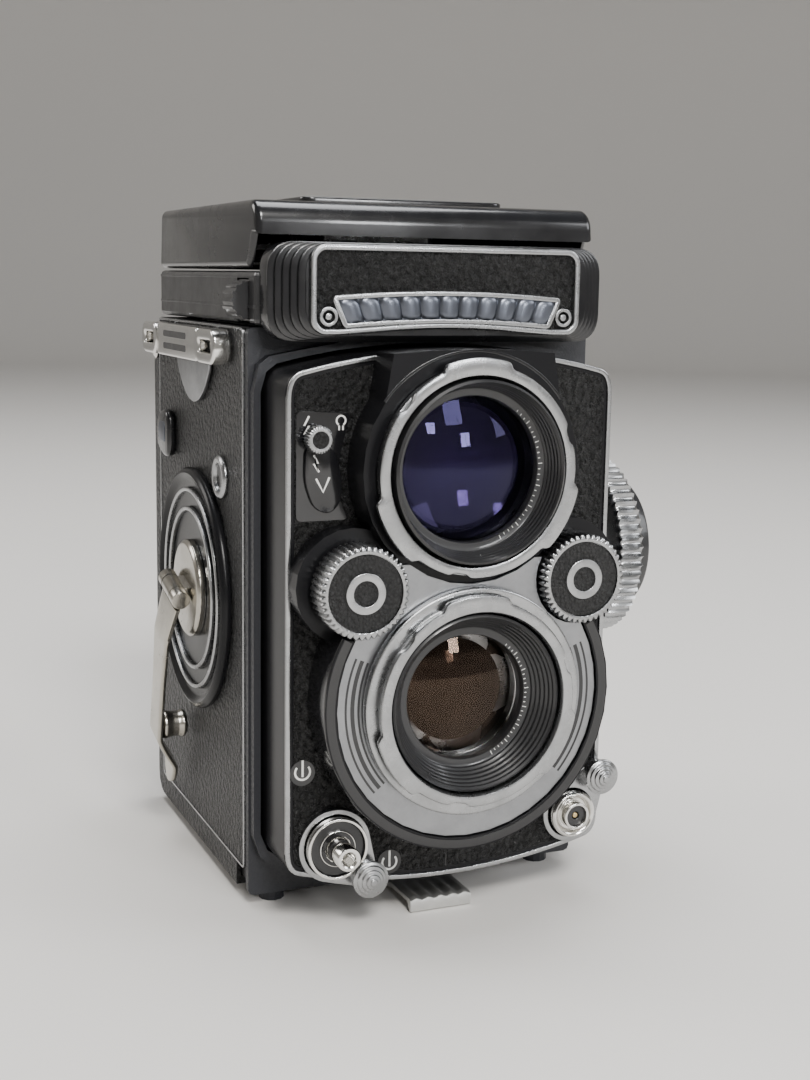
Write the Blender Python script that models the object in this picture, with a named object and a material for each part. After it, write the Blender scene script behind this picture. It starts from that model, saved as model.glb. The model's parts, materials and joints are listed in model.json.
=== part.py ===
"""Twin lens reflex camera for 120 roll film, as an assembly of separate pieces.

Every length below is in millimetres in the camera's own frame: X to the right as the camera is
faced, Y from front to back with 0 on the body's front panel, Z up from the body's bottom edge.
The empty camera_frame scales nothing; it only moves that frame so that the whole object stands
on Z = 0 with its bounding box centred.
"""
import math

import bmesh
import bpy
from mathutils import Vector

MM = 0.001
GAP = 0.3                      # between neighbouring pieces

# ---- driving dimensions -------------------------------------------------------------------
BODY_HALF_WIDTH = 39.25        # over the leather-covered side plates
BODY_DEPTH = 78.0
LID_TOP = 147.0
FOOT_HEIGHT = 2.3
FRAME_SHIFT = (-4.05, -23.45, FOOT_HEIGHT)

LENS_SEPARATION = 46.93
TAKING_Z = 47.25
VIEWING_Z = TAKING_Z + LENS_SEPARATION
BOARD_FACE_Y = -16.4
BOARD_HALF_WIDTH = 36.6

CASTING_HALF_WIDTH = 38.0
CASTING_WALL_INNER = 34.5
CASTING_FRONT_Y = 2.3
CASTING_BACK_Y = 75.6

WHEEL_X = 24.1
WHEEL_Z = 71.3
WHEEL_RADIUS = 9.4
WHEEL_FACE_Y = -29.4
WHEEL_BACK_Y = -22.4

CRANK_Y, CRANK_Z = 38.0, 60.8
CRANK_TILT = math.radians(15.0)     # the arm hangs down and a little to the rear
CRANK_ARM_END = 51.6
HINGE_X = -45.0
HANDLE_REACH = 36.0

GEAR_MODULE = 1.0
CRANK_TEETH, IDLER_TEETH, TAKEUP_TEETH = 22, 20, 15
TRAIN_ANGLE = math.radians(36.0)    # from vertical, leaning to the rear
GEAR_X = (-37.9, -36.6)

SPOOL_FLANGE_RADIUS = 12.7
SPOOL_HALF_LENGTH = 33.0
SUPPLY_Y, SUPPLY_Z = 22.0, 17.2

KNOB_Y, KNOB_Z = 11.3, 71.1
KNOB_RADIUS = 20.5
KNOB_X = (45.0, 51.0)

HOOD_HALF_WIDTH = 38.2
LID_HINGE_Y, LID_HINGE_Z = -0.5, 141.0
LEAF_HINGE_X, LEAF_HINGE_Z = 36.0, 134.9
BACK_LEAF_Y, BACK_LEAF_Z = 71.8, 138.4
LEAF_THICK = 0.8
HOOD_WHEEL = (-37.6, 126.9)

DOOR_HINGE_Y, DOOR_HINGE_Z = 76.0, 113.6
LATCH_Y, LATCH_Z = 17.0, -1.1

BUTTON_X, BUTTON_Z = -25.8, 16.1
SOCKET_X, SOCKET_Z = 29.2, 16.7
SYNC_X, SYNC_Z = -28.4, 88.5

BLADE_COUNT = 5
BAYONET_SIDES = 30
BLADE_PIVOT_RADIUS = 16.4
APERTURE_RADIUS = 8.4

ROUND = 28                     # sides of a large round piece
SMALL_ROUND = 12


# ---- scene, materials and mesh tools ------------------------------------------------------
def clear_scene():
    for obj in list(bpy.data.objects):
        bpy.data.objects.remove(obj, do_unlink=True)


def material(name, colour, roughness, metallic=0.0):
    mat = bpy.data.materials.new(name)
    mat.use_nodes = True
    shader = mat.node_tree.nodes["Principled BSDF"]
    shader.inputs["Base Color"].default_value = (*colour, 1.0)
    shader.inputs["Roughness"].default_value = roughness
    shader.inputs["Metallic"].default_value = metallic
    mat.diffuse_color = (*colour, 1.0)
    return mat


def empty(name, at, parent=None):
    obj = bpy.data.objects.new(name, None)
    bpy.context.collection.objects.link(obj)
    obj.location = [c * MM for c in at]
    obj.parent = parent
    return obj


def solid(name, shape, mat=None, origin=(0, 0, 0)):
    """A closed mesh object from (points, faces); its origin is put at the point origin."""
    points, faces = shape
    mesh = bpy.data.meshes.new(name)
    mesh.from_pydata([[(p[i] - origin[i]) * MM for i in range(3)] for p in points], [], faces)
    clean(mesh)
    obj = bpy.data.objects.new(name, mesh)
    bpy.context.collection.objects.link(obj)
    obj.location = [c * MM for c in origin]
    obj.parent = FRAME
    if mat:
        mesh.materials.append(mat)
    return obj


def clean(mesh):
    """Welds the mesh, points its faces outwards and shades it smooth below 35 degrees."""
    work = bmesh.new()
    work.from_mesh(mesh)
    bmesh.ops.remove_doubles(work, verts=work.verts, dist=1e-7)
    bmesh.ops.recalc_face_normals(work, faces=work.faces)
    work.to_mesh(mesh)
    work.free()
    mesh.shade_smooth()
    mesh.set_sharp_from_angle(angle=math.radians(35))


def combine(obj, others, operation):
    """Applies Booleans of the other objects to obj and removes those objects."""
    for other in others:
        other.hide_render = True
        other.display_type = "WIRE"
        mod = obj.modifiers.new("join", "BOOLEAN")
        mod.operation = operation
        mod.solver = "EXACT"
        mod.object = other
    bpy.context.view_layer.update()
    depsgraph = bpy.context.evaluated_depsgraph_get()
    mesh = bpy.data.meshes.new_from_object(obj.evaluated_get(depsgraph))
    obj.modifiers.clear()
    obj.data = mesh
    for other in others:
        bpy.data.objects.remove(other, do_unlink=True)
    for angle in (0.5, 0.02, 0.0):
        work = bmesh.new()
        work.from_mesh(mesh)
        if angle:
            bmesh.ops.dissolve_limit(work, angle_limit=math.radians(angle), verts=work.verts,
                                     edges=work.edges)
        bmesh.ops.triangulate(work, faces=work.faces)
        closed = all(len(edge.link_faces) == 2 for edge in work.edges)
        if closed:
            work.to_mesh(mesh)
        work.free()
        if closed:
            break
    mesh.shade_smooth()
    mesh.set_sharp_from_angle(angle=math.radians(35))
    return obj


def cut(obj, *shapes):
    return combine(obj, [solid("cutter", s) for s in shapes], "DIFFERENCE")


def join(obj, *shapes):
    return combine(obj, [solid("added", s) for s in shapes], "UNION")


def bevel(obj, width, segments=2, angle=50):
    mod = obj.modifiers.new("bevel", "BEVEL")
    mod.width = width * MM
    mod.segments = segments
    mod.limit_method = "ANGLE"
    mod.angle_limit = math.radians(angle)
    return obj


AXES = {"x": (1, 2, 0), "y": (0, 2, 1), "z": (0, 1, 2)}


def place(a, b, h, axis):
    """The point with a and b across the axis and h along it."""
    point = [0.0, 0.0, 0.0]
    first, second, along = AXES[axis]
    point[first], point[second], point[along] = a, b, h
    return point


def prism(outline, low, high, axis):
    """The outline, points (a, b) across the axis, carried from low to high."""
    n = len(outline)
    points = [place(a, b, low, axis) for a, b in outline]
    points += [place(a, b, high, axis) for a, b in outline]
    faces = [list(range(n)), list(range(n, 2 * n))]
    faces += [[i, (i + 1) % n, n + (i + 1) % n, n + i] for i in range(n)]
    return points, faces


def ring_prism(outer, inner, low, high, axis):
    """A flat ring between two outlines of the same number of points."""
    n = len(outer)
    points = []
    for h in (low, high):
        points += [place(a, b, h, axis) for a, b in outer]
        points += [place(a, b, h, axis) for a, b in inner]
    faces = []
    for i in range(n):
        j = (i + 1) % n
        faces.append([i, j, n + j, n + i])
        faces.append([2 * n + i, 2 * n + j, 3 * n + j, 3 * n + i])
        faces.append([i, j, 2 * n + j, 2 * n + i])
        faces.append([n + i, n + j, 3 * n + j, 3 * n + i])
    return points, faces


def box(low, high):
    return prism([(low[0], low[1]), (high[0], low[1]), (high[0], high[1]), (low[0], high[1])],
                 low[2], high[2], "z")


def turned(profile, axis, centre, count=ROUND):
    """A closed profile of (radius, height) points turned about an axis through centre."""
    points, faces, rows = [], [], []
    for radius, height in profile:
        rows.append(len(points))
        sides = 1 if radius == 0 else count
        for k in range(sides):
            angle = 2 * math.pi * k / count
            points.append(place(centre[0] + radius * math.cos(angle),
                                centre[1] + radius * math.sin(angle), height, axis))
    n = len(profile)
    for i in range(n):
        j = (i + 1) % n
        one, two = profile[i][0] == 0, profile[j][0] == 0
        if one and two:
            continue
        for k in range(count):
            m = (k + 1) % count
            a, b = (rows[i], rows[i]) if one else (rows[i] + k, rows[i] + m)
            c, d = (rows[j], rows[j]) if two else (rows[j] + m, rows[j] + k)
            faces.append([v for v in dict.fromkeys((a, b, c, d))])
    return points, faces


def disc(radius, low, high, axis, centre, count=ROUND):
    return turned([(0, low), (radius, low), (radius, high), (0, high)], axis, centre, count)


def tube(outer, inner, low, high, axis, centre, count=ROUND):
    return turned([(outer, low), (outer, high), (inner, high), (inner, low)], axis, centre, count)


def circle(radius, centre=(0, 0), count=ROUND, start=0.0):
    return [(centre[0] + radius * math.cos(start + 2 * math.pi * k / count),
             centre[1] + radius * math.sin(start + 2 * math.pi * k / count)) for k in range(count)]


def rounded(low, high, radius, steps=4):
    """A rectangle outline with rounded corners."""
    outline = []
    corners = ((high[0] - radius, high[1] - radius), (low[0] + radius, high[1] - radius),
               (low[0] + radius, low[1] + radius), (high[0] - radius, low[1] + radius))
    for quarter, (cx, cy) in enumerate(corners):
        for k in range(steps + 1):
            angle = math.pi / 2 * (quarter + k / steps)
            outline.append((cx + radius * math.cos(angle), cy + radius * math.sin(angle)))
    return outline


def toothed(radius, depth, teeth, centre, fill=0.5, start=0.0):
    """A knurled outline: teeth of the given depth standing on the smaller radius."""
    outline = []
    pitch = 2 * math.pi / teeth
    for k in range(teeth):
        middle = start + k * pitch
        for offset, r in ((-fill / 2, radius - depth), (-fill / 3, radius), (fill / 3, radius),
                          (fill / 2, radius - depth)):
            angle = middle + offset * pitch
            outline.append((centre[0] + r * math.cos(angle), centre[1] + r * math.sin(angle)))
    return outline


# ---- outlines shared by several pieces ----------------------------------------------------
def board_outline(grow=0.0):
    """The arched shield of the front standard, grown outwards by a distance."""
    half = BOARD_HALF_WIDTH + grow
    right = [(half, 15.0 - grow * 0.3), (half - 1.5, 11.6 - grow), (half - 4.5, 9.6 - grow)]
    right += [(x, 5.9 - grow + 3.2 * (x / 29.0) ** 2) for x in (22.0, 11.0)]
    bottom = right + [(0.0, 5.9 - grow)] + [(-x, z) for x, z in reversed(right)]
    top_right = [(x, 118.1 + grow - 3.1 * (x / 29.0) ** 2) for x in (10.0, 20.0, 28.0)]
    top_right += [(half - 3.4, 113.9 + grow), (half - 1.2, 112.2 + grow), (half, 108.6)]
    top = [(-x, z) for x, z in reversed(top_right)] + [(0.0, 118.1 + grow)] + top_right
    return bottom + top


def polar(centre, radius, angle):
    return (centre[0] + radius * math.cos(angle), centre[1] + radius * math.sin(angle))


TAKING = (0.0, TAKING_Z)
VIEWING = (0.0, VIEWING_Z)
CRANK = (CRANK_Y, CRANK_Z)
TAKEUP_DISTANCE = GEAR_MODULE * (CRANK_TEETH / 2 + IDLER_TEETH + TAKEUP_TEETH / 2)
IDLER_DISTANCE = GEAR_MODULE * (CRANK_TEETH + IDLER_TEETH) / 2
TRAIN = (math.sin(TRAIN_ANGLE), math.cos(TRAIN_ANGLE))
TAKEUP = (CRANK_Y + TAKEUP_DISTANCE * TRAIN[0], CRANK_Z + TAKEUP_DISTANCE * TRAIN[1])
IDLER = (CRANK_Y + IDLER_DISTANCE * TRAIN[0], CRANK_Z + IDLER_DISTANCE * TRAIN[1])


# ---- body ---------------------------------------------------------------------------------
def body_casting(mat):
    half, inner = CASTING_HALF_WIDTH, CASTING_WALL_INNER
    side = [(CASTING_FRONT_Y, 2.2), (73.8, 2.2), (CASTING_BACK_Y, 4.3), (CASTING_BACK_Y, 121.5),
            (CASTING_FRONT_Y, 121.5)]
    obj = solid("body_casting", prism(side, -half, half, "x"), mat)
    cut(obj,
        box((-36.9, 0, 5.2), (36.9, 5.0, 119.8)),
        box((-inner, 7.5, -5), (inner, 90, 74.2)),
        box((-inner, 7.5, 75.8), (inner, 73.4, 130)),
        box((-inner, 30, 60), (inner, 90, 107)),
        box((-40, 25.5, 47), (-36.3, 71, 104)),
        disc(18.0, 4, 9, "y", TAKING),
        disc(17.8, 4, 9, "y", VIEWING),
        disc(3.4, -36.6, -34, "x", TAKEUP, SMALL_ROUND),
        disc(3.3, 34, 39, "x", TAKEUP, SMALL_ROUND),
        disc(3.3, 34, 39, "x", (SUPPLY_Y, SUPPLY_Z), SMALL_ROUND),
        disc(2.6, 34, 39, "x", (KNOB_Y, KNOB_Z), SMALL_ROUND),
        box((-22.5, 74.0, 110.9), (22.5, 80, 125)))
    lugs = [prism(hinge_lug_outline(), sign * 25.0, sign * 37.6, "x") for sign in (-1, 1)]
    join(obj, *lugs, mirror_seat(),
         disc(2.9, -34.8, -31.6, "x", (SUPPLY_Y, SUPPLY_Z), 16))
    return cut(obj, disc(1.35, -39, 39, "x", (DOOR_HINGE_Y, DOOR_HINGE_Z), 12))


def mirror_line(along, above):
    """A point (y, z) on the mirror's 45 degree slope, and a distance above it."""
    half = math.sqrt(0.5)
    return (39.4 + (along - above) * half, VIEWING_Z + (along + above) * half)


def mirror_seat():
    """The sloping plate across the casting that carries the mirror."""
    outline = [mirror_line(-26.0, -2.6), mirror_line(27.4, -2.6), mirror_line(27.4, -0.6),
               mirror_line(-26.0, -0.6)]
    return prism(outline, -34.8, 34.8, "x")


def hinge_lug_outline():
    """A lug behind the casting's top edge, round about the door's hinge axis."""
    y, z = DOOR_HINGE_Y, DOOR_HINGE_Z
    arc = [(y + 2.0 * math.cos(a), z + 2.0 * math.sin(a))
           for a in [math.radians(d) for d in range(-60, 91, 30)]]
    return [(74.6, z - 1.8)] + arc + [(74.6, z + 2.0)]


def front_panel(mat):
    obj = solid("front_panel", prism(rounded((-39.0, 0.3), (39.0, 121.5), 1.2, 2), 0.0, 2.0, "y"), mat)
    join(obj, prism(board_outline(2.0), -2.7, 1.0, "y"), box((-35.5, 1.0, 0.3), (35.5, 7.4, 1.8)),
         disc(2.8, -FOOT_HEIGHT, 1.0, "z", (-32.4, 4.5), SMALL_ROUND),
         disc(2.8, -FOOT_HEIGHT, 1.0, "z", (32.4, 4.5), SMALL_ROUND))
    return cut(obj, prism(board_outline(0.5), -8.0, 4.0, "y"))


def side_cover(name, sign, mat):
    """The leather-covered side plate, open where spindles pass."""
    outline = rounded((2.3, 5.7), (72.3, 121.3), 0.8, 1)
    inner, outer = sorted((sign * (CASTING_HALF_WIDTH + GAP), sign * BODY_HALF_WIDTH))
    obj = solid(name, prism(outline, inner, outer, "x"), mat)
    if sign < 0:
        return cut(obj, disc(3.4, -41, -37, "x", CRANK, SMALL_ROUND))
    return cut(obj, disc(3.3, 37, 41, "x", TAKEUP, SMALL_ROUND),
               disc(3.3, 37, 41, "x", (SUPPLY_Y, SUPPLY_Z), SMALL_ROUND),
               disc(2.6, 37, 41, "x", (KNOB_Y, KNOB_Z), SMALL_ROUND))


def film_gate(mat):
    obj = solid("film_gate", box((-34.2, 63.2, 12.5), (34.2, 65.6, 79.0)), mat)
    return cut(obj, box((-28, 60, TAKING_Z - 28), (28, 70, TAKING_Z + 28)),
               box((-31.8, 62, 12.0), (31.8, 70, 18.6)),
               box((-31.8, 62, 75.9), (31.8, 70, 83.0)))


def film_roller(name, z, mat):
    centre = (66.2, z)
    profile = [(0, -31.4), (1.1, -31.4), (1.1, -30.4), (2.5, -30.4), (2.5, 30.4), (1.1, 30.4),
               (1.1, 31.4), (0, 31.4)]
    return solid(name, turned(profile, "x", centre, 16), mat, (0, *centre))


def spool(name, centre, mat):
    half, flange = SPOOL_HALF_LENGTH, SPOOL_FLANGE_RADIUS
    profile = [(3.6, -half), (flange, -half), (flange, 1.2 - half), (5.8, 1.6 - half),
               (5.8, half - 1.6), (flange, half - 1.2), (flange, half), (3.6, half)]
    return solid(name, turned(profile, "x", centre, 24), mat, (0, *centre))


def spool_knob(name, centre, mat):
    """A pull-out knob whose spindle holds the right-hand end of a spool."""
    x = BODY_HALF_WIDTH + GAP
    profile = [(0, 31.2), (2.6, 31.2), (2.9, 31.8), (2.9, x), (7.4, x), (7.4, x + 1.0),
               (5.6, x + 1.4), (5.6, x + 2.6), (7.0, x + 3.0), (7.0, x + 4.6), (6.3, x + 5.2),
               (0, x + 5.2)]
    return solid(name, turned(profile, "x", centre, SMALL_ROUND), mat, (x, *centre))


def reflex_mirror(mat):
    outline = [mirror_line(-24.5, -0.3), mirror_line(26.0, -0.3), mirror_line(26.0, 1.3),
               mirror_line(-24.5, 1.3)]
    return solid("reflex_mirror", prism(outline, -31.0, 31.0, "x"), mat)


def focusing_screen(mat):
    return bevel(solid("focusing_screen", box((-30, 9.5, 119.4), (30, 67.5, 121.6)), mat), 0.3, 1)


# ---- hood ---------------------------------------------------------------------------------
def hood_base(mat):
    half = HOOD_HALF_WIDTH
    obj = solid("hood_base", box((-half, -2.6, 122.1), (half, 75.4, 132.8)), mat)
    bevel(obj, 1.0, 2)
    return cut(obj, box((-35.6, 0.2, 123.9), (35.6, 72.8, 140)),
               box((-28.5, 10.5, 118), (28.5, 66.5, 130)),
               disc(4.7, 1.7, 9.9, "y", HOOD_WHEEL, 16))


def hood_lid(mat):
    """A shallow tray upside down, its front edge rounded and its sides reaching over the leaves."""
    front = [(-3.0 + 4.6 * (1 - math.cos(a)), 142.4 + 4.6 * math.sin(a))
             for a in [math.radians(d) for d in range(0, 91, 15)]]
    rear = [(74.5 - 2.2 * (1 - math.sin(a)), LID_TOP - 2.2 * (1 - math.cos(a)))
            for a in [math.radians(d) for d in (0, 30, 60, 90)]]
    outline = [(-3.0, 140.1)] + front + rear + [(74.5, 133.3), (3.4, 133.3), (1.6, 135.4), (-0.6, 140.1)]
    half = HOOD_HALF_WIDTH
    obj = solid("hood_lid", prism(outline, -half, half, "x"), mat, (0, LID_HINGE_Y, LID_HINGE_Z))
    bevel(obj, 1.3, 2, 60)
    inside = [(-1.5, 130), (-1.5, 143.0), (2.0, 145.5), (73.1, 145.5), (73.1, 130)]
    cut(obj, prism(inside, 1.3 - half, half - 1.3, "x"))
    frame = rounded((-23.5, 11.0), (23.5, 58.0), 1.5, 2)
    panel = rounded((-21.3, 13.2), (21.3, 55.8), 1.0, 2)
    join(obj, prism(frame, LID_TOP - 0.5, LID_TOP + 1.5, "z"))
    cut(obj, prism(panel, LID_TOP + 0.6, LID_TOP + 3, "z"))
    centre_origin(obj, (0, LID_HINGE_Y, LID_HINGE_Z))
    return obj


def side_leaf(name, sign, mat):
    """A folding side of the hood; its rear edge is mitred to pass the back leaf."""
    height = ((69.8, 5.2), (66.8, 9.4), (61.8, 15.2), (51.8, 26.4), (46.0, 32.6))
    outline = [(69.8, 0.6)] + list(height)
    outline += [(15.0, 32.6), (9.5, 25.0), (5.5, 17.0), (3.0, 8.0), (3.0, 0.6)]
    hinge = LEAF_HINGE_X
    flat = [(sign * (hinge - reach), y) for y, reach in outline]
    low = LEAF_HINGE_Z - LEAF_THICK / 2
    return solid(name, prism(flat, low, low + LEAF_THICK, "z"), mat, (sign * hinge, 36.0, LEAF_HINGE_Z))


def back_leaf(mat):
    outline = [(-32.8, 71.2), (32.8, 71.2), (32.8, 60.0), (27.0, 38.6), (-27.0, 38.6), (-32.8, 60.0)]
    low = BACK_LEAF_Z - LEAF_THICK / 2
    return solid("hood_leaf_back", prism(outline, low, low + LEAF_THICK, "z"), mat,
                 (0, BACK_LEAF_Y, BACK_LEAF_Z))


def hood_release_wheel(mat):
    centre = HOOD_WHEEL
    outline = toothed(4.2, 0.35, 16, centre)
    return solid("hood_release_wheel", prism(outline, 2.2, 9.4, "y"), mat, (centre[0], 5.8, centre[1]))


# ---- exposure meter on the hood's front ---------------------------------------------------
def meter_housing(mat):
    """A hollow shell of nested ribs, each a little smaller towards the front."""
    steps = 5
    rear_y, front_y = -3.0, -11.9
    sections = []
    for i in range(steps):
        t0, t1 = i / steps, (i + 0.72) / steps
        half = 38.4 - 8.1 * t0
        sections += [(rear_y + (front_y - rear_y) * t0, half, t0),
                     (rear_y + (front_y - rear_y) * t1, half, t0)]
    outlines = [rounded((-h, 118.9 + 1.2 * t), (h, 138.7 - 0.3 * t), 3.6, 3) for _, h, t in sections]
    n = len(outlines[0])
    points, faces = [], [list(range(n))]
    for (y, _, _), outline in zip(sections, outlines):
        points += [(x, y, z) for x, z in outline]
    for row in range(len(sections) - 1):
        faces += [[row * n + i, row * n + (i + 1) % n, (row + 1) * n + (i + 1) % n, (row + 1) * n + i]
                  for i in range(n)]
    faces.append([len(points) - n + i for i in range(n)])
    obj = solid("meter_housing", (points, faces), mat)
    return cut(obj, box((-27.5, -9.9, 121.5), (27.5, 0, 136.5)),
               prism(window_outline(0.0), -15, 0, "y"))


def window_outline(grow):
    """The arched cell window, a band between two flat arcs."""
    half = 19.6 + grow
    xs = [half * (k / 4 - 1) for k in range(9)]
    sag = [2.1 * (x / 20.0) ** 2 for x in xs]
    top = [(x, 130.6 + grow - s) for x, s in zip(xs, sag)]
    bottom = [(x, 123.9 - grow - 0.75 * s) for x, s in zip(xs, sag)]
    return bottom + top[::-1]


def meter_frame(mat):
    """The bright frame: a rounded border and the surround of the cell window in one piece."""
    outer = rounded((-29.9, 120.6), (29.9, 138.15), 3.0, 4)
    inner = rounded((-28.6, 121.9), (28.6, 136.85), 2.0, 4)
    obj = solid("meter_frame", ring_prism(outer, inner, -13.0, -12.2, "y"), mat)
    join(obj, prism([(-23.0, 120.8), (23.0, 120.8), (22.4, 125.5), (21.6, 129.6), (10.5, 131.8),
                     (0, 132.5), (-10.5, 131.8), (-21.6, 129.6), (-22.4, 125.5)], -12.9, -12.2, "y"))
    return cut(obj, prism(window_outline(0.0), -15, -10, "y"))


def meter_window(mat):
    """Eleven small domes over the cell, moulded as one strip."""
    count, half = 11, 19.0
    columns = count * 4 + 1
    points, faces = [], []
    for k in range(columns):
        x = half * (2 * k / (columns - 1) - 1)
        sag = 2.1 * (x / 20.0) ** 2
        bulge = math.sin(math.pi * (k % 4) / 4)
        for z, front in ((123.9 + 0.45 - 0.75 * sag, 0.1), (127.2 - sag * 0.87, 1.0),
                         (130.6 - 0.45 - sag, 0.1)):
            points.append((x, -11.7 - 0.9 * bulge * front, z))
        points.append((x, -10.4, 130.15 - sag))
        points.append((x, -10.4, 124.35 - 0.75 * sag))
    for k in range(columns - 1):
        for i in range(5):
            j = (i + 1) % 5
            faces.append([k * 5 + i, k * 5 + j, k * 5 + 5 + j, k * 5 + 5 + i])
    faces += [list(range(5)), [5 * (columns - 1) + i for i in range(5)]]
    return solid("meter_window", (points, faces), mat)


# ---- side fittings ------------------------------------------------------------------------
def strap_lug(name, sign, mat):
    """A long bracket with a window at each end and a pointed tongue below it."""
    near, far = BODY_HALF_WIDTH + GAP, BODY_HALF_WIDTH + 4.4
    outline = rounded((9.0, 113.2), (73.0, 120.8), 3.0, 3)
    low, high = sorted((sign * near, sign * far))
    obj = solid(name, prism(outline, low, high, "x"), mat)
    windows = [prism(rounded((a, 115.1), (b, 118.9), 0.8, 1), sign * 38, sign * 46, "x")
               for a, b in ((15.0, 23.0), (60.0, 68.0))]
    slots = [prism([(34.0, z), (55.0, z), (55.0, z + 1.1), (34.0, z + 1.1)], sign * (far - 1.0),
                   sign * 46, "x") for z in (115.0, 117.8)]
    tongue = [(24.0, 113.6), (24.0, 111.5), (28.0, 107.0), (33.0, 104.2), (37.5, 103.5),
              (42.0, 104.4), (47.0, 107.4), (51.0, 111.5), (51.0, 113.6)]
    join(obj, prism(tongue, sign * near, sign * (near + 0.9), "x"))
    return cut(obj, *windows, *slots)


def crank_plate(mat):
    """The fixed round dish under the crank, with a rolled rim and two raised rings."""
    base = -(BODY_HALF_WIDTH + GAP)
    heights = [(3.6, 0), (27.8, 0), (27.8, 0.8), (26.4, 2.2), (24.4, 1.3), (23.2, 1.3), (22.9, 2.0),
               (22.1, 2.0), (21.8, 1.3), (18.9, 1.3), (18.6, 2.0), (17.8, 2.0), (17.5, 1.3),
               (12.2, 0.9), (3.6, 0.9)]
    return solid("crank_plate", turned([(r, base - h) for r, h in heights], "x", CRANK, 32), mat)


def crank_hub(mat):
    """The hub disc with its shaft and the middle barrel of the arm's hinge."""
    profile = [(0, -36.6), (3.0, -36.6), (3.0, -40.6), (11.2, -40.6), (11.2, -41.8), (10.2, -42.5),
               (0, -42.7)]
    obj = solid("crank_hub", turned(profile, "x", CRANK, 32), mat)
    post = [(-3.3, -1.6), (3.3, -1.6), (3.3, 1.6), (-3.3, 1.6)]
    post = [(CRANK_Y + u * math.cos(CRANK_TILT) - v * math.sin(CRANK_TILT),
             CRANK_Z + u * math.sin(CRANK_TILT) + v * math.cos(CRANK_TILT)) for u, v in post]
    join(obj, prism(post, -45.0, -42.0, "x"))
    barrel = solid("added", disc(2.1, -3.3, 3.3, "y", (0, 0), 16))
    barrel.location = (HINGE_X * MM, CRANK_Y * MM, CRANK_Z * MM)
    barrel.rotation_euler = (CRANK_TILT, 0, 0)
    combine(obj, [barrel], "UNION")
    centre_origin(obj, (GEAR_X[0], *CRANK))
    return obj


def centre_origin(obj, origin):
    """Moves an object's origin to a point of its joint's axis without moving the mesh."""
    shift = Vector([c * MM for c in origin]) - obj.location
    for vertex in obj.data.vertices:
        vertex.co -= shift
    obj.location += shift


def arm_offset(s):
    """How far the arm's middle plane stands outside the hinge axis, at distance s along it."""
    rise = 2.2 * min(1.0, max(0.0, (s - 1.0) / 11.0)) ** 0.8
    fall = 4.2 * max(0.0, (s - 38.0) / 8.0) ** 1.2 if s < 46.0 else 4.2
    return rise - fall


def crank_arm(mat):
    """A pressed arm bowed away from the dish, with the two outer barrels of its hinge."""
    stations = (3.0, 6.0, 9.0, 12.0, 18.0, 26.0, 34.0, 38.0, 40.0, 42.0, 44.0, 46.0, 48.5, 50.6, CRANK_ARM_END)
    points, faces = [], []
    for s in stations:
        width = 6.2 - 2.0 * min(1.0, (s - 3.0) / 20.0)
        if s > 46.0:
            width = 4.2 * math.sqrt(max(0.06, 1 - ((s - 46.0) / 6.0) ** 2))
        x = HINGE_X - arm_offset(s)
        for side, thick in ((-1, -0.7), (1, -0.7), (1, 0.7), (-1, 0.7)):
            points.append((x + thick, side * width, -s))
    for row in range(len(stations) - 1):
        faces += [[4 * row + i, 4 * row + (i + 1) % 4, 4 * row + 4 + (i + 1) % 4, 4 * row + 4 + i]
                  for i in range(4)]
    faces += [[0, 1, 2, 3], [len(points) - 4 + i for i in range(4)]]
    obj = solid("crank_arm", (points, faces), mat, (HINGE_X, 0, 0))
    ears = [box((HINGE_X - 1.6, min(a, b), -4.0), (HINGE_X + 1.0, max(a, b), 0.0))
            for a, b in ((3.6, 6.2), (-3.6, -6.2))]
    barrels = [disc(2.2, min(a, b), max(a, b), "y", (HINGE_X, 0), 16)
               for a, b in ((3.6, 6.4), (-3.6, -6.4))]
    join(obj, *ears, *barrels)
    cut(obj, disc(2.0, -44.5, -49.5, "x", (0, -HANDLE_REACH), 16))
    centre_origin(obj, (HINGE_X, 0, 0))
    obj.location = (HINGE_X * MM, CRANK_Y * MM, CRANK_Z * MM)
    obj.rotation_euler = (CRANK_TILT, 0, 0)
    return obj


def crank_handle(mat):
    """The spinning grip, lying between the folded arm and the body."""
    profile = [(0, -47.6), (1.6, -47.6), (1.6, -46.1), (3.2, -46.1), (3.4, -45.4), (2.9, -43.6),
               (3.3, -41.0), (2.9, -40.3), (0, -40.2)]
    obj = solid("crank_handle", turned(profile, "x", (0, 0), SMALL_ROUND), mat, (HINGE_X, 0, 0))
    reach = HANDLE_REACH
    obj.location = (HINGE_X * MM, (CRANK_Y + reach * math.sin(CRANK_TILT)) * MM,
                    (CRANK_Z - reach * math.cos(CRANK_TILT)) * MM)
    return obj


def gear(name, teeth, centre, bore, start, mat):
    """A spur gear with straight-sided teeth and a little backlash."""
    pitch_radius = GEAR_MODULE * teeth / 2
    tip, root = pitch_radius + 0.7 * GEAR_MODULE, pitch_radius - 1.05 * GEAR_MODULE
    half_tooth = 0.62 * GEAR_MODULE
    outline = []
    for k in range(teeth):
        middle = start + 2 * math.pi * k / teeth
        for radius, side in ((root, -1), (tip, -1), (tip, 1), (root, 1)):
            half = half_tooth - (radius - pitch_radius) * math.tan(math.radians(20))
            outline.append(polar(centre, radius, middle + side * half / radius))
    obj = solid(name, prism(outline, GEAR_X[0], GEAR_X[1], "x"), mat, (GEAR_X[0], *centre))
    return cut(obj, disc(bore, -42, -33, "x", centre, SMALL_ROUND))


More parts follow.
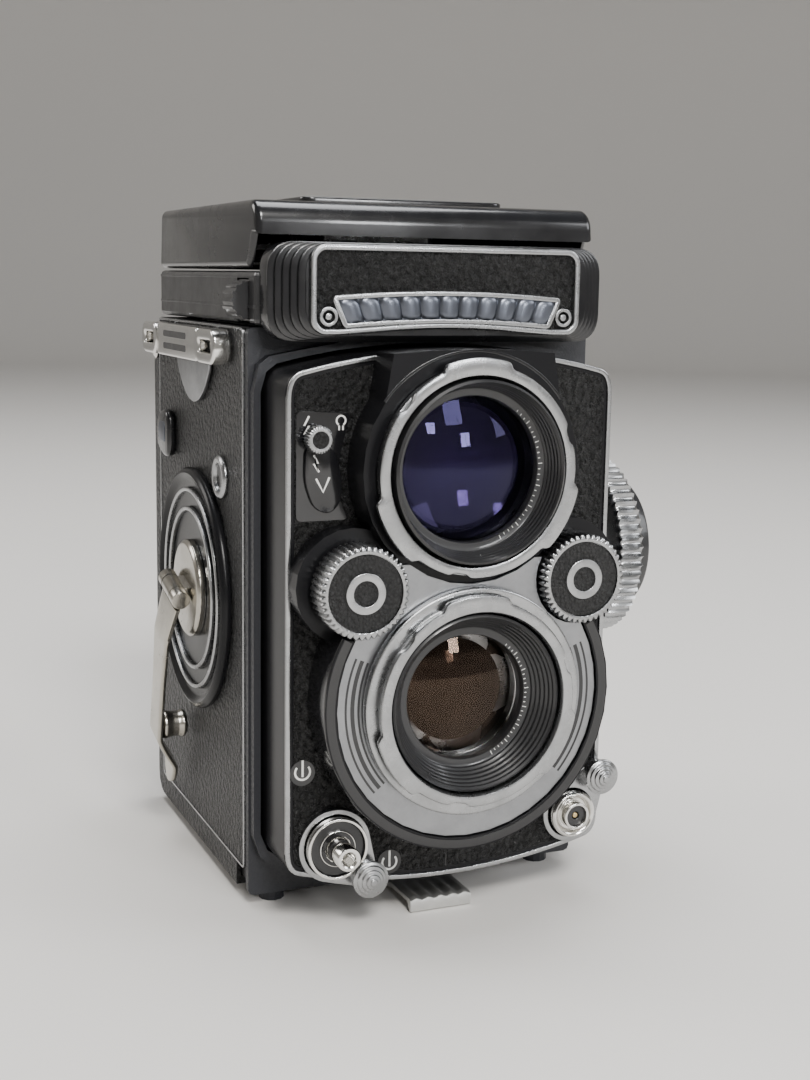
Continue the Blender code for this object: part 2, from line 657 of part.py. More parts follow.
def gear_train(mat):
    """Crank gear, idler and take-up gear on one line, meshing at rest; the last drives the spool."""
    line = math.pi / 2 - TRAIN_ANGLE
    gear("crank_gear", CRANK_TEETH, CRANK, 3.3, line, mat)
    gear("idler_gear", IDLER_TEETH, IDLER, 2.3, line + math.pi + math.pi / IDLER_TEETH, mat)
    takeup = gear("takeup_gear", TAKEUP_TEETH, TAKEUP, 1.6, line + math.pi, mat)
    driver = [(0, -37.9), (2.9, -37.9), (2.9, -31.4), (0, -31.0)]
    join(takeup, turned(driver, "x", TAKEUP, 16))
    centre_origin(takeup, (GEAR_X[0], *TAKEUP))


# ---- back door ----------------------------------------------------------------------------
def back_door(mat):
    """The L-shaped door: the back and the bottom in one, with a shallow rim round the casting."""
    def corner(radius, inset):
        arc = [math.radians(d) for d in range(0, 91, 30)]
        return [(BODY_DEPTH - inset - radius * (1 - math.sin(a)), inset + radius * (1 - math.cos(a)))
                for a in arc]
    top = 111.2
    outer = [(8.0, 0.0)] + corner(5.0, 0.0) + [(BODY_DEPTH, top), (72.7, top), (72.7, 5.3), (8.0, 5.3)]
    inner = [(7.0, 1.8)] + corner(3.2, 1.8) + [(BODY_DEPTH - 1.8, top + 5), (60, top + 5), (60, 10), (7, 10)]
    obj = solid("back_door", prism(outer, -39.2, 39.2, "x"), mat)
    cut(obj, prism(inner, -38.3, 38.3, "x"))
    knuckle = [(DOOR_HINGE_Y + 1.95 * math.cos(a), DOOR_HINGE_Z + 1.95 * math.sin(a))
               for a in [math.radians(d) for d in range(0, 181, 30)]]
    knuckle += [(DOOR_HINGE_Y - 0.1, 110.4), (77.9, 110.4)]
    join(obj, prism(knuckle, -22.0, 22.0, "x"),
         disc(3.4, -FOOT_HEIGHT, 1.0, "z", (-31.5, 69.5), SMALL_ROUND),
         disc(3.4, -FOOT_HEIGHT, 1.0, "z", (31.5, 69.5), SMALL_ROUND))
    cut(obj, disc(1.35, -39, 39, "x", (DOOR_HINGE_Y, DOOR_HINGE_Z), 12))
    centre_origin(obj, (0, DOOR_HINGE_Y, DOOR_HINGE_Z))
    return obj


def hinge_pin(mat):
    centre = (DOOR_HINGE_Y, DOOR_HINGE_Z)
    profile = [(0, -40.2), (1.4, -40.0), (2.2, -39.4), (2.2, -38.3), (1.05, -38.3), (1.05, 38.3),
               (2.2, 38.3), (2.2, 39.4), (1.4, 40.0), (0, 40.2)]
    return solid("door_hinge_pin", turned(profile, "x", centre, 12), mat)


def pressure_plate(mat):
    obj = solid("pressure_plate", box((-29.5, 68.9, 19.5), (29.5, 70.1, 75.0)), mat)
    return bevel(obj, 0.3, 1)


def tripod_bush(mat):
    profile = [(3.3, -2.0), (8.2, -2.0), (9.0, -1.4), (9.0, -0.3), (3.3, -0.3)]
    return solid("tripod_bush", turned(profile, "z", (0, 40.0), 32), mat)


def latch_lever(mat):
    """The opening lever: a flat arm under the door and a ribbed tab in front of the body."""
    outline = [(LATCH_Y - 2.0, -1.9), (LATCH_Y - 2.0, -0.4), (-1.5, -0.4), (-4.5, 0.6), (-14.4, 0.9),
               (-15.6, 0.3), (-15.6, -2.1), (-14.6, -2.1), (-14.3, -0.4), (-4.6, -0.8), (-1.2, -1.9)]
    obj = solid("latch_lever", prism(outline, -7.6, 6.6, "x"), mat, (0, LATCH_Y, LATCH_Z))
    return join(obj, prism(circle(0.95, (LATCH_Y, LATCH_Z), 12), -7.6, 6.6, "x"),
                box((-7.6, LATCH_Y - 2.4, -1.5), (6.6, LATCH_Y, -0.8)))


# ---- focusing -----------------------------------------------------------------------------
def focus_knob(mat):
    """The knurled focusing knob with its dial, hollow behind its web, on a hub over the shaft."""
    low, high = KNOB_X
    centre = (KNOB_Y, KNOB_Z)
    obj = solid("focus_knob", prism(toothed(KNOB_RADIUS, 0.7, 36, centre, 0.6), low, high, "x"), mat)
    cut(obj, disc(17.6, low - 1, low + 3.4, "x", centre, 24))
    join(obj, disc(8.0, low - 2.6, low + 4.0, "x", centre, SMALL_ROUND),
         turned([(0, high - 1.0), (15.2, high - 1.0), (15.4, high + 1.4), (14.9, high + 4.6),
                 (13.8, high + 5.0), (0, high + 5.0)], "x", centre, 24))
    cut(obj, disc(4.9, low - 4, high, "x", centre, SMALL_ROUND))
    centre_origin(obj, (low, *centre))
    return obj


def focus_shaft(mat):
    """The cross shaft with a cam disc near each end."""
    centre = (KNOB_Y, KNOB_Z)
    profile = [(0, -33.6), (2.2, -33.6), (2.2, -31.0), (2.8, -31.0), (2.8, -28.0), (2.2, -28.0),
               (2.2, 28.0), (2.8, 28.0), (2.8, 31.0), (2.2, 31.0), (2.2, 39.6), (4.4, 39.9),
               (4.4, 50.6), (0, 50.6)]
    return solid("focus_shaft", turned(profile, "x", centre, 16), mat, (0, *centre))


def lens_board(mat):
    """The shield-shaped front of the moving standard, a shallow box open to the rear."""
    obj = solid("lens_board", prism(board_outline(-0.35), BOARD_FACE_Y, 4.6, "y"), mat)
    y = BOARD_FACE_Y
    collar = [(2.0, y + 0.5), (6.5, y + 0.5), (6.5, y - 2.9), (5.9, y - 3.2), (5.6, y - 2.5),
              (3.9, y - 2.5), (3.6, y - 3.4), (2.0, y - 3.4)]
    join(obj, turned(collar, "y", (BUTTON_X, BUTTON_Z), 32))
    return cut(obj, prism(board_outline(-1.9), -14.9, 8.0, "y"),
               disc(22.9, -20, 0, "y", TAKING), disc(17.0, -20, 0, "y", VIEWING),
               disc(2.9, -24, 0, "y", (BUTTON_X, BUTTON_Z), SMALL_ROUND),
               disc(3.2, -20, 0, "y", (SOCKET_X, SOCKET_Z), 16),
               disc(1.6, -20, 0, "y", (-WHEEL_X, WHEEL_Z), 12),
               disc(1.6, -20, 0, "y", (WHEEL_X, WHEEL_Z), 12))


def front_cover(mat):
    """The black cover round both lenses, with a rim and a boss under each wheel."""
    back, face = BOARD_FACE_Y - GAP, -25.7
    wheels = [(sign * WHEEL_X, WHEEL_Z) for sign in (-1, 1)]
    obj = solid("front_cover", disc(31.7, -27.2, back, "y", TAKING, 36), mat)
    join(obj, prism(viewing_cover_outline(), face, back + 0.05, "y"))
    cut(obj, disc(18.8, -30, -10, "y", VIEWING))
    join(obj, *[disc(11.8, -21.6, back + 0.1, "y", wheel, 24) for wheel in wheels])
    waist = [(-17.4, 59.0), (17.4, 59.0), (17.4, 76.5), (-17.4, 76.5)]
    cut(obj, disc(29.2, -28, face + 0.12, "y", TAKING, 36))
    cut(obj, prism(waist, -28, face + 0.1, "y"))
    cut(obj, disc(21.6, -28, face + 0.08, "y", VIEWING))
    cut(obj, disc(22.9, -30, -10, "y", TAKING))
    cut(obj, *[disc(10.0, -30, -22.1, "y", wheel, 24) for wheel in wheels])
    return cut(obj, *[disc(1.9, -30, -10, "y", wheel, 12) for wheel in wheels])


def viewing_cover_outline():
    """Round about the viewing lens and squared off under the meter."""
    radius = 23.6
    arc = [polar(VIEWING, radius, math.radians(a)) for a in range(-216, 37, 12)]
    return arc + [(17.5, 117.4), (9.0, 118.0), (0.0, 118.2), (-9.0, 118.0), (-17.5, 117.4)]


def face_plate(mat):
    """The satin plate: a disc round the taking lens and a waist reaching up between the wheels."""
    obj = solid("face_plate", disc(28.9, -26.6, -26.0, "y", TAKING, 36), mat)
    join(obj, prism([(-17.0, 60.0), (17.0, 60.0), (17.0, 76.0), (-17.0, 76.0)], -26.6, -26.0, "y"))
    wheels = [disc(9.8, -30, -20, "y", (s * WHEEL_X, WHEEL_Z), 24) for s in (-1, 1)]
    return cut(obj, disc(22.9, -30, -20, "y", TAKING), disc(22.9, -30, -20, "y", VIEWING), *wheels)


def lens_barrel(name, centre, throat, rear_radius, rear_y, mat):
    """A black barrel whose front funnels down to the name ring and the glass."""
    seat = throat + 0.3
    profile = [(18.4, -30.2), (18.4, -17.0), (rear_radius, -17.0), (rear_radius, rear_y),
               (rear_radius - 1.2, rear_y), (rear_radius - 1.2, -17.6), (seat, -17.6), (seat, -23.2),
               (16.4, -24.4), (17.7, -30.2)]
    if rear_y < -16.0:
        profile = [(18.4, -30.2), (18.4, rear_y), (seat, rear_y), (seat, -22.6), (16.2, -23.8), (17.7, -30.2)]
    return solid(name, turned(profile, "y", centre), mat)


def bayonet(name, centre, front_y, collar, mat):
    """A ring with three lugs standing out and three notches between them."""
    def outer(k):
        angle = math.degrees(2 * math.pi * k / BAYONET_SIDES) % 120
        return 22.5 if 12 <= angle <= 48 else (20.6 if 70 <= angle <= 82 else 21.3)
    start = math.radians(62)
    outline = [polar(centre, outer(k), 2 * math.pi * k / BAYONET_SIDES + start)
               for k in range(BAYONET_SIDES)]
    inner = circle(18.8, centre, BAYONET_SIDES, start)
    obj = solid(name, ring_prism(outline, inner, front_y, front_y + 1.4, "y"), mat)
    neck = [(19.1, front_y + 0.7), (20.9, front_y + 0.7)]
    neck += [(20.9, -29.0), (23.7, -29.0), (23.7, -26.9), (19.1, -26.9)] if collar else [
        (20.9, -26.0), (19.1, -26.0)]
    return join(obj, turned(neck, "y", centre))


def lens_glass(name, centre, radius, front, rear, bulge_front, bulge_rear, mat):
    """A lens between two spherical faces, each standing out by its bulge at the middle."""
    rows = 3
    front_face = [(radius * k / rows, front - bulge_front * (1 - (k / rows) ** 2)) for k in range(rows + 1)]
    rear_face = [(radius * k / rows, rear + bulge_rear * (1 - (k / rows) ** 2)) for k in range(rows + 1)]
    return solid(name, turned(front_face + rear_face[::-1], "y", centre, 24), mat)


def shutter_housing(mat):
    """The leaf shutter's case, with the blade chamber behind the front cell."""
    profile = [(22.5, -25.4), (22.5, -11.0), (14.8, -11.0), (14.8, 4.4), (13.4, 4.4), (13.4, -10.4),
               (APERTURE_RADIUS, -10.4), (APERTURE_RADIUS, -12.2), (21.0, -12.2), (21.0, -16.4),
               (19.0, -16.4), (19.0, -25.4)]
    return solid("shutter_housing", turned(profile, "y", TAKING), mat)


def shutter_blade(index, mat):
    """One leaf, thin and tapered, on a pivot near the chamber's wall."""
    angle = 2 * math.pi * index / BLADE_COUNT
    front = -16.0 + 0.72 * index
    pivot = (BLADE_PIVOT_RADIUS * math.cos(angle), TAKING_Z + BLADE_PIVOT_RADIUS * math.sin(angle))
    along = ((-2.6, 1.2), (-1.6, 2.4), (2.0, 4.2), (6.0, 6.0), (10.0, 5.8), (14.5, 4.2), (17.6, 2.0))
    outline = [(reach, half) for reach, half in along] + [(reach, -half) for reach, half in reversed(along)]
    inward = angle + math.pi
    turned_outline = [(pivot[0] + u * math.cos(inward) - v * math.sin(inward),
                       pivot[1] + u * math.sin(inward) + v * math.cos(inward)) for u, v in outline]
    return solid(f"shutter_blade_{index + 1}", prism(turned_outline, front, front + 0.3, "y"), mat,
                 (pivot[0], front, pivot[1]))


def control_wheel(name, sign, mat):
    """A knurled wheel with a sunk face and a spindle into the cover."""
    centre = (sign * WHEEL_X, WHEEL_Z)
    outer = toothed(WHEEL_RADIUS, 0.45, 28, centre, 0.62)
    obj = solid(name, prism(outer, WHEEL_FACE_Y + 0.4, WHEEL_BACK_Y, "y"), mat, (centre[0], WHEEL_BACK_Y, centre[1]))
    cut(obj, disc(7.9, -31, WHEEL_FACE_Y + 0.9, "y", centre, 24))
    return join(obj, disc(1.3, WHEEL_BACK_Y - 1.0, -15.2, "y", centre, 12),
                tube(4.1, 2.6, WHEEL_FACE_Y, WHEEL_FACE_Y + 1.5, "y", centre, SMALL_ROUND))


def release_button(mat):
    """The threaded shutter release, a tube closed at its inner end."""
    centre = (BUTTON_X, BUTTON_Z)
    profile = [(1.3, -26.2), (2.5, -26.2), (2.5, -14.0), (3.6, -14.0), (3.6, -13.2), (0, -13.2),
               (0, -22.0), (1.3, -22.0)]
    return solid("release_button", turned(profile, "y", centre, SMALL_ROUND), mat, (centre[0], -14.0, centre[1]))


def lock_lever(name, centre, knob, collar_radius, mat):
    """A flat lever round a socket, with a stepped finger knob at its end."""
    low, high = BOARD_FACE_Y - GAP - 1.1, BOARD_FACE_Y - GAP
    angle = math.atan2(knob[1] - centre[1], knob[0] - centre[0])
    ring_width = collar_radius + 1.3
    spread = math.radians(50)
    web = [polar(centre, collar_radius + 0.8, angle + spread), polar(centre, collar_radius + 0.8, angle - spread),
           polar(knob, 2.6, angle - math.pi / 2), polar(knob, 2.6, angle + math.pi / 2)]
    obj = solid(name, tube(ring_width, collar_radius + GAP, low, high, "y", centre, 24), mat,
                (centre[0], high, centre[1]))
    steps = [(0, high), (3.1, high), (3.1, -20.1), (3.9, -20.3), (3.9, -21.1), (3.1, -21.4),
             (3.1, -21.9), (2.1, -22.2), (2.1, -22.7), (0, -23.0)]
    join(obj, prism(web, low, high, "y"), turned(steps, "y", knob, SMALL_ROUND))
    return cut(obj, disc(collar_radius + GAP, -19.0, -15.0, "y", centre, 24))


def sync_socket(mat):
    """The coaxial flash socket: a ring, an inner sleeve and the pin in one piece."""
    centre = (SOCKET_X, SOCKET_Z)
    y = BOARD_FACE_Y - GAP
    profile = [(0, -14.4), (3.0, -14.4), (3.0, y), (5.2, y), (5.2, y - 2.8), (4.5, y - 3.2), (3.9, y - 2.4),
               (3.3, y - 1.6), (2.9, y - 1.6), (2.9, y - 4.2), (2.3, y - 4.2), (2.3, y + 0.2),
               (0.8, y + 0.2), (0.8, y - 2.6), (0, y - 2.8)]
    return solid("sync_socket", turned(profile, "y", centre, 24), mat)


def sync_lever(mat):
    """The flash selector: a flat lever with a small milled knob at its upper end."""
    y = BOARD_FACE_Y - GAP
    outline = [(-32.4, 99.0), (-32.6, 92.0), (-30.6, 86.6), (-27.6, 85.2), (-25.0, 87.6), (-24.9, 93.0),
               (-26.6, 98.6)]
    obj = solid("sync_lever", prism(outline, y - 0.9, y, "y"), mat, (SYNC_X, y, SYNC_Z))
    knob = turned([(0, y - 0.1), (2.9, y - 0.1), (2.9, y - 3.4), (2.3, y - 3.8), (1.7, y - 3.8), (1.6, y - 3.2),
                   (0, y - 3.2)], "y", (-30.4, 100.5), SMALL_ROUND)
    return join(obj, knob)


# ---- assembly -----------------------------------------------------------------------------
def build():
    black = material("black_enamel", (0.012, 0.012, 0.014), 0.3)
    crinkle = material("crinkle_black", (0.018, 0.019, 0.022), 0.62)
    leather = material("black_leatherette", (0.015, 0.015, 0.016), 0.55)
    matt = material("matt_black", (0.01, 0.01, 0.011), 0.8)
    chrome = material("chrome", (0.78, 0.78, 0.77), 0.16, 1.0)
    satin = material("satin_chrome", (0.66, 0.67, 0.69), 0.34, 1.0)
    steel = material("steel", (0.5, 0.5, 0.5), 0.35, 1.0)
    brass = material("brass", (0.62, 0.48, 0.24), 0.35, 1.0)
    glass = material("coated_glass", (0.05, 0.04, 0.09), 0.03)
    amber = material("coated_glass_amber", (0.09, 0.05, 0.03), 0.03)
    mirror = material("silvered_glass", (0.85, 0.86, 0.88), 0.04, 1.0)
    screen = material("ground_glass", (0.75, 0.77, 0.78), 0.5)

    body_casting(matt)
    front_panel(crinkle)
    side_cover("side_cover_left", -1, leather)
    side_cover("side_cover_right", 1, leather)
    film_gate(matt)
    film_roller("film_roller_lower", 15.2, steel)
    film_roller("film_roller_upper", 78.6, steel)
    spool("supply_spool", (SUPPLY_Y, SUPPLY_Z), matt)
    spool("takeup_spool", TAKEUP, matt)
    spool_knob("spool_knob_lower", (SUPPLY_Y, SUPPLY_Z), chrome)
    spool_knob("spool_knob_upper", TAKEUP, chrome)
    reflex_mirror(mirror)
    focusing_screen(screen)

    hood_base(black)
    hood_lid(black)
    side_leaf("hood_leaf_left", -1, black)
    side_leaf("hood_leaf_right", 1, black)
    back_leaf(black)
    hood_release_wheel(black)
    meter_housing(black)
    meter_frame(satin)
    meter_window(glass)

    strap_lug("strap_lug_left", -1, chrome)
    strap_lug("strap_lug_right", 1, chrome)
    crank_plate(black)
    crank_hub(chrome)
    crank_arm(chrome)
    crank_handle(chrome)
    gear_train(brass)

    back_door(leather)
    hinge_pin(chrome)
    pressure_plate(matt)
    tripod_bush(steel)
    latch_lever(satin)

    focus_knob(satin)
    focus_shaft(steel)
    lens_board(leather)
    front_cover(black)
    face_plate(satin)
    lens_barrel("viewing_barrel", VIEWING, 14.6, 16.6, 5.6, matt)
    lens_barrel("taking_barrel", TAKING, 12.9, 18.4, -16.9, matt)
    bayonet("viewing_bayonet", VIEWING, -29.2, False, satin)
    bayonet("taking_bayonet", TAKING, -31.3, True, satin)
    lens_glass("viewing_lens", VIEWING, 14.5, -22.8, -18.2, 3.4, 1.5, glass)
    lens_glass("taking_lens", TAKING, 12.8, -21.6, -18.6, 2.4, 0.6, amber)
    shutter_housing(black)
    for index in range(BLADE_COUNT):
        shutter_blade(index, steel)
    control_wheel("aperture_wheel", -1, satin)
    control_wheel("shutter_wheel", 1, satin)
    release_button(chrome)
    lock_lever("release_lock_lever", (BUTTON_X, BUTTON_Z), (-19.0, 9.0), 6.5, satin)
    sync_socket(chrome)
    lock_lever("socket_lock_lever", (SOCKET_X, SOCKET_Z), (35.1, 25.0), 5.2, satin)
    sync_lever(black)


clear_scene()
FRAME = empty("camera_frame", FRAME_SHIFT)
build()
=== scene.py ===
"""The looks of a twin lens reflex camera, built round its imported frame.

Lengths in the piece functions are millimetres in the camera's own frame: x to the right as the
camera is faced, y from its front panel (0) to its back, z up from the body's lower edge.
"""
import json
import math

import bmesh
import bpy
import numpy as np
from mathutils import Matrix, Vector

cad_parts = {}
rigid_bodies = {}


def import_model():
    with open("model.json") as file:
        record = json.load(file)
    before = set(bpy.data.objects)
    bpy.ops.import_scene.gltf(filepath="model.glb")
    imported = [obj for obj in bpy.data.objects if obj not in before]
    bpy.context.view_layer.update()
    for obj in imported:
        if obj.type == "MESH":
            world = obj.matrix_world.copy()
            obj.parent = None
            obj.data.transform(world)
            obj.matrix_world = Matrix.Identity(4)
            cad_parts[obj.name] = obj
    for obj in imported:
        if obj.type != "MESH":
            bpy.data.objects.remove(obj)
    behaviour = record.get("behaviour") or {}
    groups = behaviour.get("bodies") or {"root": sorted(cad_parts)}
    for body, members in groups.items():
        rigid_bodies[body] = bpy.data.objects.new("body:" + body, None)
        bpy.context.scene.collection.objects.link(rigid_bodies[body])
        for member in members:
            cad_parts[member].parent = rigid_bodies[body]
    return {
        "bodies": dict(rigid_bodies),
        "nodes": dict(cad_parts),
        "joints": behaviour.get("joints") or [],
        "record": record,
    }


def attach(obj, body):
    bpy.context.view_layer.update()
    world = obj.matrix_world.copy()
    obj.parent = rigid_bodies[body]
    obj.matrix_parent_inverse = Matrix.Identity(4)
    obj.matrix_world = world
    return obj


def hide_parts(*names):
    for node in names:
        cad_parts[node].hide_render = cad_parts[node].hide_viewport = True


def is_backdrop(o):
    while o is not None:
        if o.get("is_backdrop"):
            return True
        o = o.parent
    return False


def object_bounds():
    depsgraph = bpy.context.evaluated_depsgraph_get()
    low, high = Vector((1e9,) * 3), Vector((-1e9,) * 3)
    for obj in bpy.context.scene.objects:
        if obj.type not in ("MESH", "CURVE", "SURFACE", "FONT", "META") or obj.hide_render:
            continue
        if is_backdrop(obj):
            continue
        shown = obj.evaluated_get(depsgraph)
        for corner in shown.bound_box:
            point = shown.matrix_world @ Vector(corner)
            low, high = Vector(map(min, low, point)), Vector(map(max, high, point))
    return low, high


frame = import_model()
nodes = frame["nodes"]
cad_low, cad_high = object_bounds()
MM = 0.001
WELD = 2e-7         # metres within which two corners are one
TURN = 2 * np.pi
CORNER = np.array((-4.05, -23.45, 2.3))     # where the camera's own frame stands in the row frame

# Centres on the front, as (x, z), and on the sides, as (y, z).
TAKING, VIEWING = (0.0, 47.25), (0.0, 94.18)
APERTURE_WHEEL, SPEED_WHEEL = (-24.1, 71.3), (24.1, 71.3)
RELEASE_SOCKET, RELEASE_FINGER = (-25.8, 16.1), (-19.0, 9.0)
FLASH_SOCKET, FLASH_FINGER = (29.2, 16.7), (35.1, 25.0)
SELECTOR_KNOB = (-30.4, 100.5)
CRANK, CRANK_GRIP = (38.0, 60.8), (47.317, 26.027)
FOCUS = (11.3, 71.1)
SIDE_SOCKET = (18.2, 88.8)
MAGNIFIER = (0.0, 39.5)

VIEWING_COVER, TAKING_COVER = 23.0, 31.0    # radii of the black cover round each lens
LID_HALF, LID_WALL = 38.2, 1.3


# ---- shapes -------------------------------------------------------------------------------
def skin(grid, around_rows=False, around_columns=True, ends=()):
    """Four-sided faces over a grid of points, joined round in either direction; ends names the
    rows ("first", "last") or columns ("left", "right") that are closed with one flat face."""
    rows, columns = grid.shape[:2]
    index = np.arange(rows * columns).reshape(rows, columns)
    down = np.roll(index, -1, 0) if around_rows else index[1:]
    top = index if around_rows else index[:-1]
    if around_columns:
        quads = np.stack((top, np.roll(top, -1, 1), np.roll(down, -1, 1), down), -1)
    else:
        quads = np.stack((top[:, :-1], top[:, 1:], down[:, 1:], down[:, :-1]), -1)
    faces = quads.reshape(-1, 4).tolist()
    edges = {"first": index[0], "last": index[-1], "left": index[:, 0], "right": index[:, -1]}
    faces += [edges[name].tolist() for name in ends]
    return grid.reshape(-1, 3), faces


def put(a, b, h, axis):
    """Points with a and b across the axis and h along it."""
    a, b, h = np.broadcast_arrays(a, b, h)
    return np.stack({"x": (h, a, b), "y": (a, h, b), "z": (a, b, h)}[axis], -1).astype(float)


def soften(line, radius, steps=4, closed=True):
    """Each corner of a line becomes a quadratic curve that starts and ends a radius from it, or
    at half the next segment: p(t) = (1-t)^2 a + 2t(1-t) corner + t^2 b."""
    line = np.array(line, float)
    before, after = np.roll(line, 1, 0), np.roll(line, -1, 0)
    reach = lambda other: np.minimum(1.0, radius / np.maximum(
        np.linalg.norm(other - line, axis=1), 1e-9))
    a = line + (before - line) * np.minimum(reach(before), 0.5)[:, None]
    b = line + (after - line) * np.minimum(reach(after), 0.5)[:, None]
    t = np.linspace(0, 1, steps + 1)[None, :, None]
    curve = (1 - t) ** 2 * a[:, None] + 2 * t * (1 - t) * line[:, None] + t ** 2 * b[:, None]
    if closed:
        return curve.reshape(-1, line.shape[1])
    return np.vstack((line[:1], curve[1:-1].reshape(-1, line.shape[1]), line[-1:]))


def turned(profile, axis, centre, count=96, arc=None, wave=None):
    """A profile of (radius, height[, share]) carried about an axis: the point at angle w is
    centre + (r + share wave(w)) (cos w, sin w), height h. An arc stops short of a full turn."""
    profile = np.array(profile, float)
    angle = np.linspace(*arc, count) if arc else np.arange(count) * TURN / count
    radius = profile[:, 0][:, None]
    if wave is not None:
        radius = radius + profile[:, 2][:, None] * wave(angle)
    grid = put(centre[0] + radius * np.cos(angle), centre[1] + radius * np.sin(angle),
               profile[:, 1][:, None], axis)
    open_profile = profile[0, 0] == 0 and profile[-1, 0] == 0
    return skin(grid, not open_profile, arc is None, ("left", "right") if arc else ())


def outward(line):
    """Unit normals of a closed flat line, pointing to its outside."""
    along = np.roll(line, -1, 0) - np.roll(line, 1, 0)
    normal = np.stack((along[:, 1], -along[:, 0]), -1)
    normal /= np.maximum(np.linalg.norm(normal, axis=1), 1e-9)[:, None]
    area = np.sum(line[:, 0] * np.roll(line[:, 1], -1) - line[:, 1] * np.roll(line[:, 0], -1))
    return normal * np.sign(area)


def slab(outline, low, high, axis, edge=0.3, steps=3):
    """An outline carried from low to high with quarter-round edges: at turn w the outline is
    drawn in by edge (1 - sin w) and stands edge (1 - cos w) from its face."""
    outline = np.array(outline, float)
    normal = outward(outline)
    w = np.linspace(0, np.pi / 2, steps + 1)
    draw = np.concatenate((edge * (1 - np.sin(w)), edge * (1 - np.sin(w[::-1]))))
    height = np.concatenate((low + edge * (1 - np.cos(w)), high - edge * (1 - np.cos(w[::-1]))))
    flat = outline[None] - normal[None] * draw[:, None, None]
    grid = put(flat[..., 0], flat[..., 1], height[:, None], axis)
    return skin(grid, ends=("first", "last"))


def band(path, profile, axis, closed=True):
    """A closed profile of (offset to the outside, height) carried along a flat path."""
    path, profile = np.array(path, float), np.array(profile, float)
    if closed:
        normal = outward(path)
    else:
        along = np.gradient(path, axis=0)
        normal = np.stack((along[:, 1], -along[:, 0]), -1)
        normal /= np.linalg.norm(normal, axis=1)[:, None]
    flat = path[None] + normal[None] * profile[:, 0][:, None, None]
    grid = put(flat[..., 0], flat[..., 1], profile[:, 1][:, None], axis)
    return skin(grid, True, closed, () if closed else ("left", "right"))


def block(low, high, edge=0.2):
    """A box with rounded edges."""
    outline = soften([(low[0], low[1]), (high[0], low[1]), (high[0], high[1]), (low[0], high[1])],
                     edge * 2)
    return slab(outline, low[2], high[2], "z", edge, 2)


def rod(profile, start, direction, count=32):
    """A profile of (radius, distance) turned about a line from start along direction."""
    forward = np.array(direction, float) / np.linalg.norm(direction)
    side = np.cross(forward, (0.31, 0.87, 0.38))
    side /= np.linalg.norm(side)
    other = np.cross(forward, side)
    profile = np.array(profile, float)
    angle = np.arange(count) * TURN / count
    circle = side[None] * np.cos(angle)[:, None] + other[None] * np.sin(angle)[:, None]
    grid = (np.array(start, float) + forward * profile[:, 1][:, None, None]
            + circle[None] * profile[:, 0][:, None, None])
    poles = profile[0, 0] == 0 and profile[-1, 0] == 0
    return skin(grid, not poles, True)


def box_outline(low, high, radius):
    """A rectangle with corners of a radius."""
    return soften([(low[0], low[1]), (high[0], low[1]), (high[0], high[1]), (low[0], high[1])],
                  radius * 1.3, 8)


def ring(outer, inner, low, high, edge=0.15):
    """The profile of a flat ring with softened corners."""
    return soften([(outer, low), (outer, high), (inner, high), (inner, low)], edge, 3)


def plug(radius, low, high, edge=0.15):
    """The profile of a disc whose face at high is softened at its rim."""
    wall = soften([(radius, low), (radius, high), (0, high)], edge, 3, False)
    return np.vstack(((0, low), wall))


def arc_line(x, z, radius, start, end, count=24):
    """Points on a circle of a radius about (x, z), from one angle to another in degrees."""
    angle = np.radians(np.linspace(start, end, count))
    return np.stack((x + radius * np.cos(angle), z + radius * np.sin(angle)), -1)


def tick(centre, radius, degrees, length, width, low, high, axis):
    """A mark standing on a circle: a strip of a width that runs outwards from the radius."""
    angle = math.radians(degrees)
    outwards = np.array((math.cos(angle), math.sin(angle)))
    aside = np.array((-math.sin(angle), math.cos(angle))) * width / 2
    foot = np.array(centre) + outwards * radius
    tip = foot + outwards * length
    return slab([foot + aside, foot - aside, tip - aside, tip + aside], low, high, axis, 0.0, 1)


# ---- pieces -------------------------------------------------------------------------------
def close(work):
    """Welds the corners and turns every face outwards."""
    bmesh.ops.remove_doubles(work, verts=work.verts, dist=WELD)
    bmesh.ops.recalc_face_normals(work, faces=work.faces)
    if work.calc_volume(signed=True) < 0:
        bmesh.ops.reverse_faces(work, faces=work.faces)


def piece(name, shapes, surface, body, replaces=(), sharp=38):
    """One object from shapes, welded, facing outwards and shaded smooth up to an angle."""
    if isinstance(shapes, tuple):
        shapes = [shapes]
    points, faces, first = [], [], 0
    for part_points, part_faces in shapes:
        points.append(part_points)
        faces += [[corner + first for corner in face] for face in part_faces]
        first += len(part_points)
    mesh = bpy.data.meshes.new(name)
    mesh.from_pydata(((np.vstack(points) + CORNER) * MM).tolist(), [], faces)
    work = bmesh.new()
    work.from_mesh(mesh)
    close(work)
    work.to_mesh(mesh)
    work.free()
    mesh.shade_smooth()
    mesh.set_sharp_from_angle(angle=math.radians(sharp))
    mesh.materials.append(surface)
    obj = bpy.data.objects.new(name, mesh)
    bpy.context.scene.collection.objects.link(obj)
    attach(obj, body)
    if replaces:
        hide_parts(*replaces)
    return obj


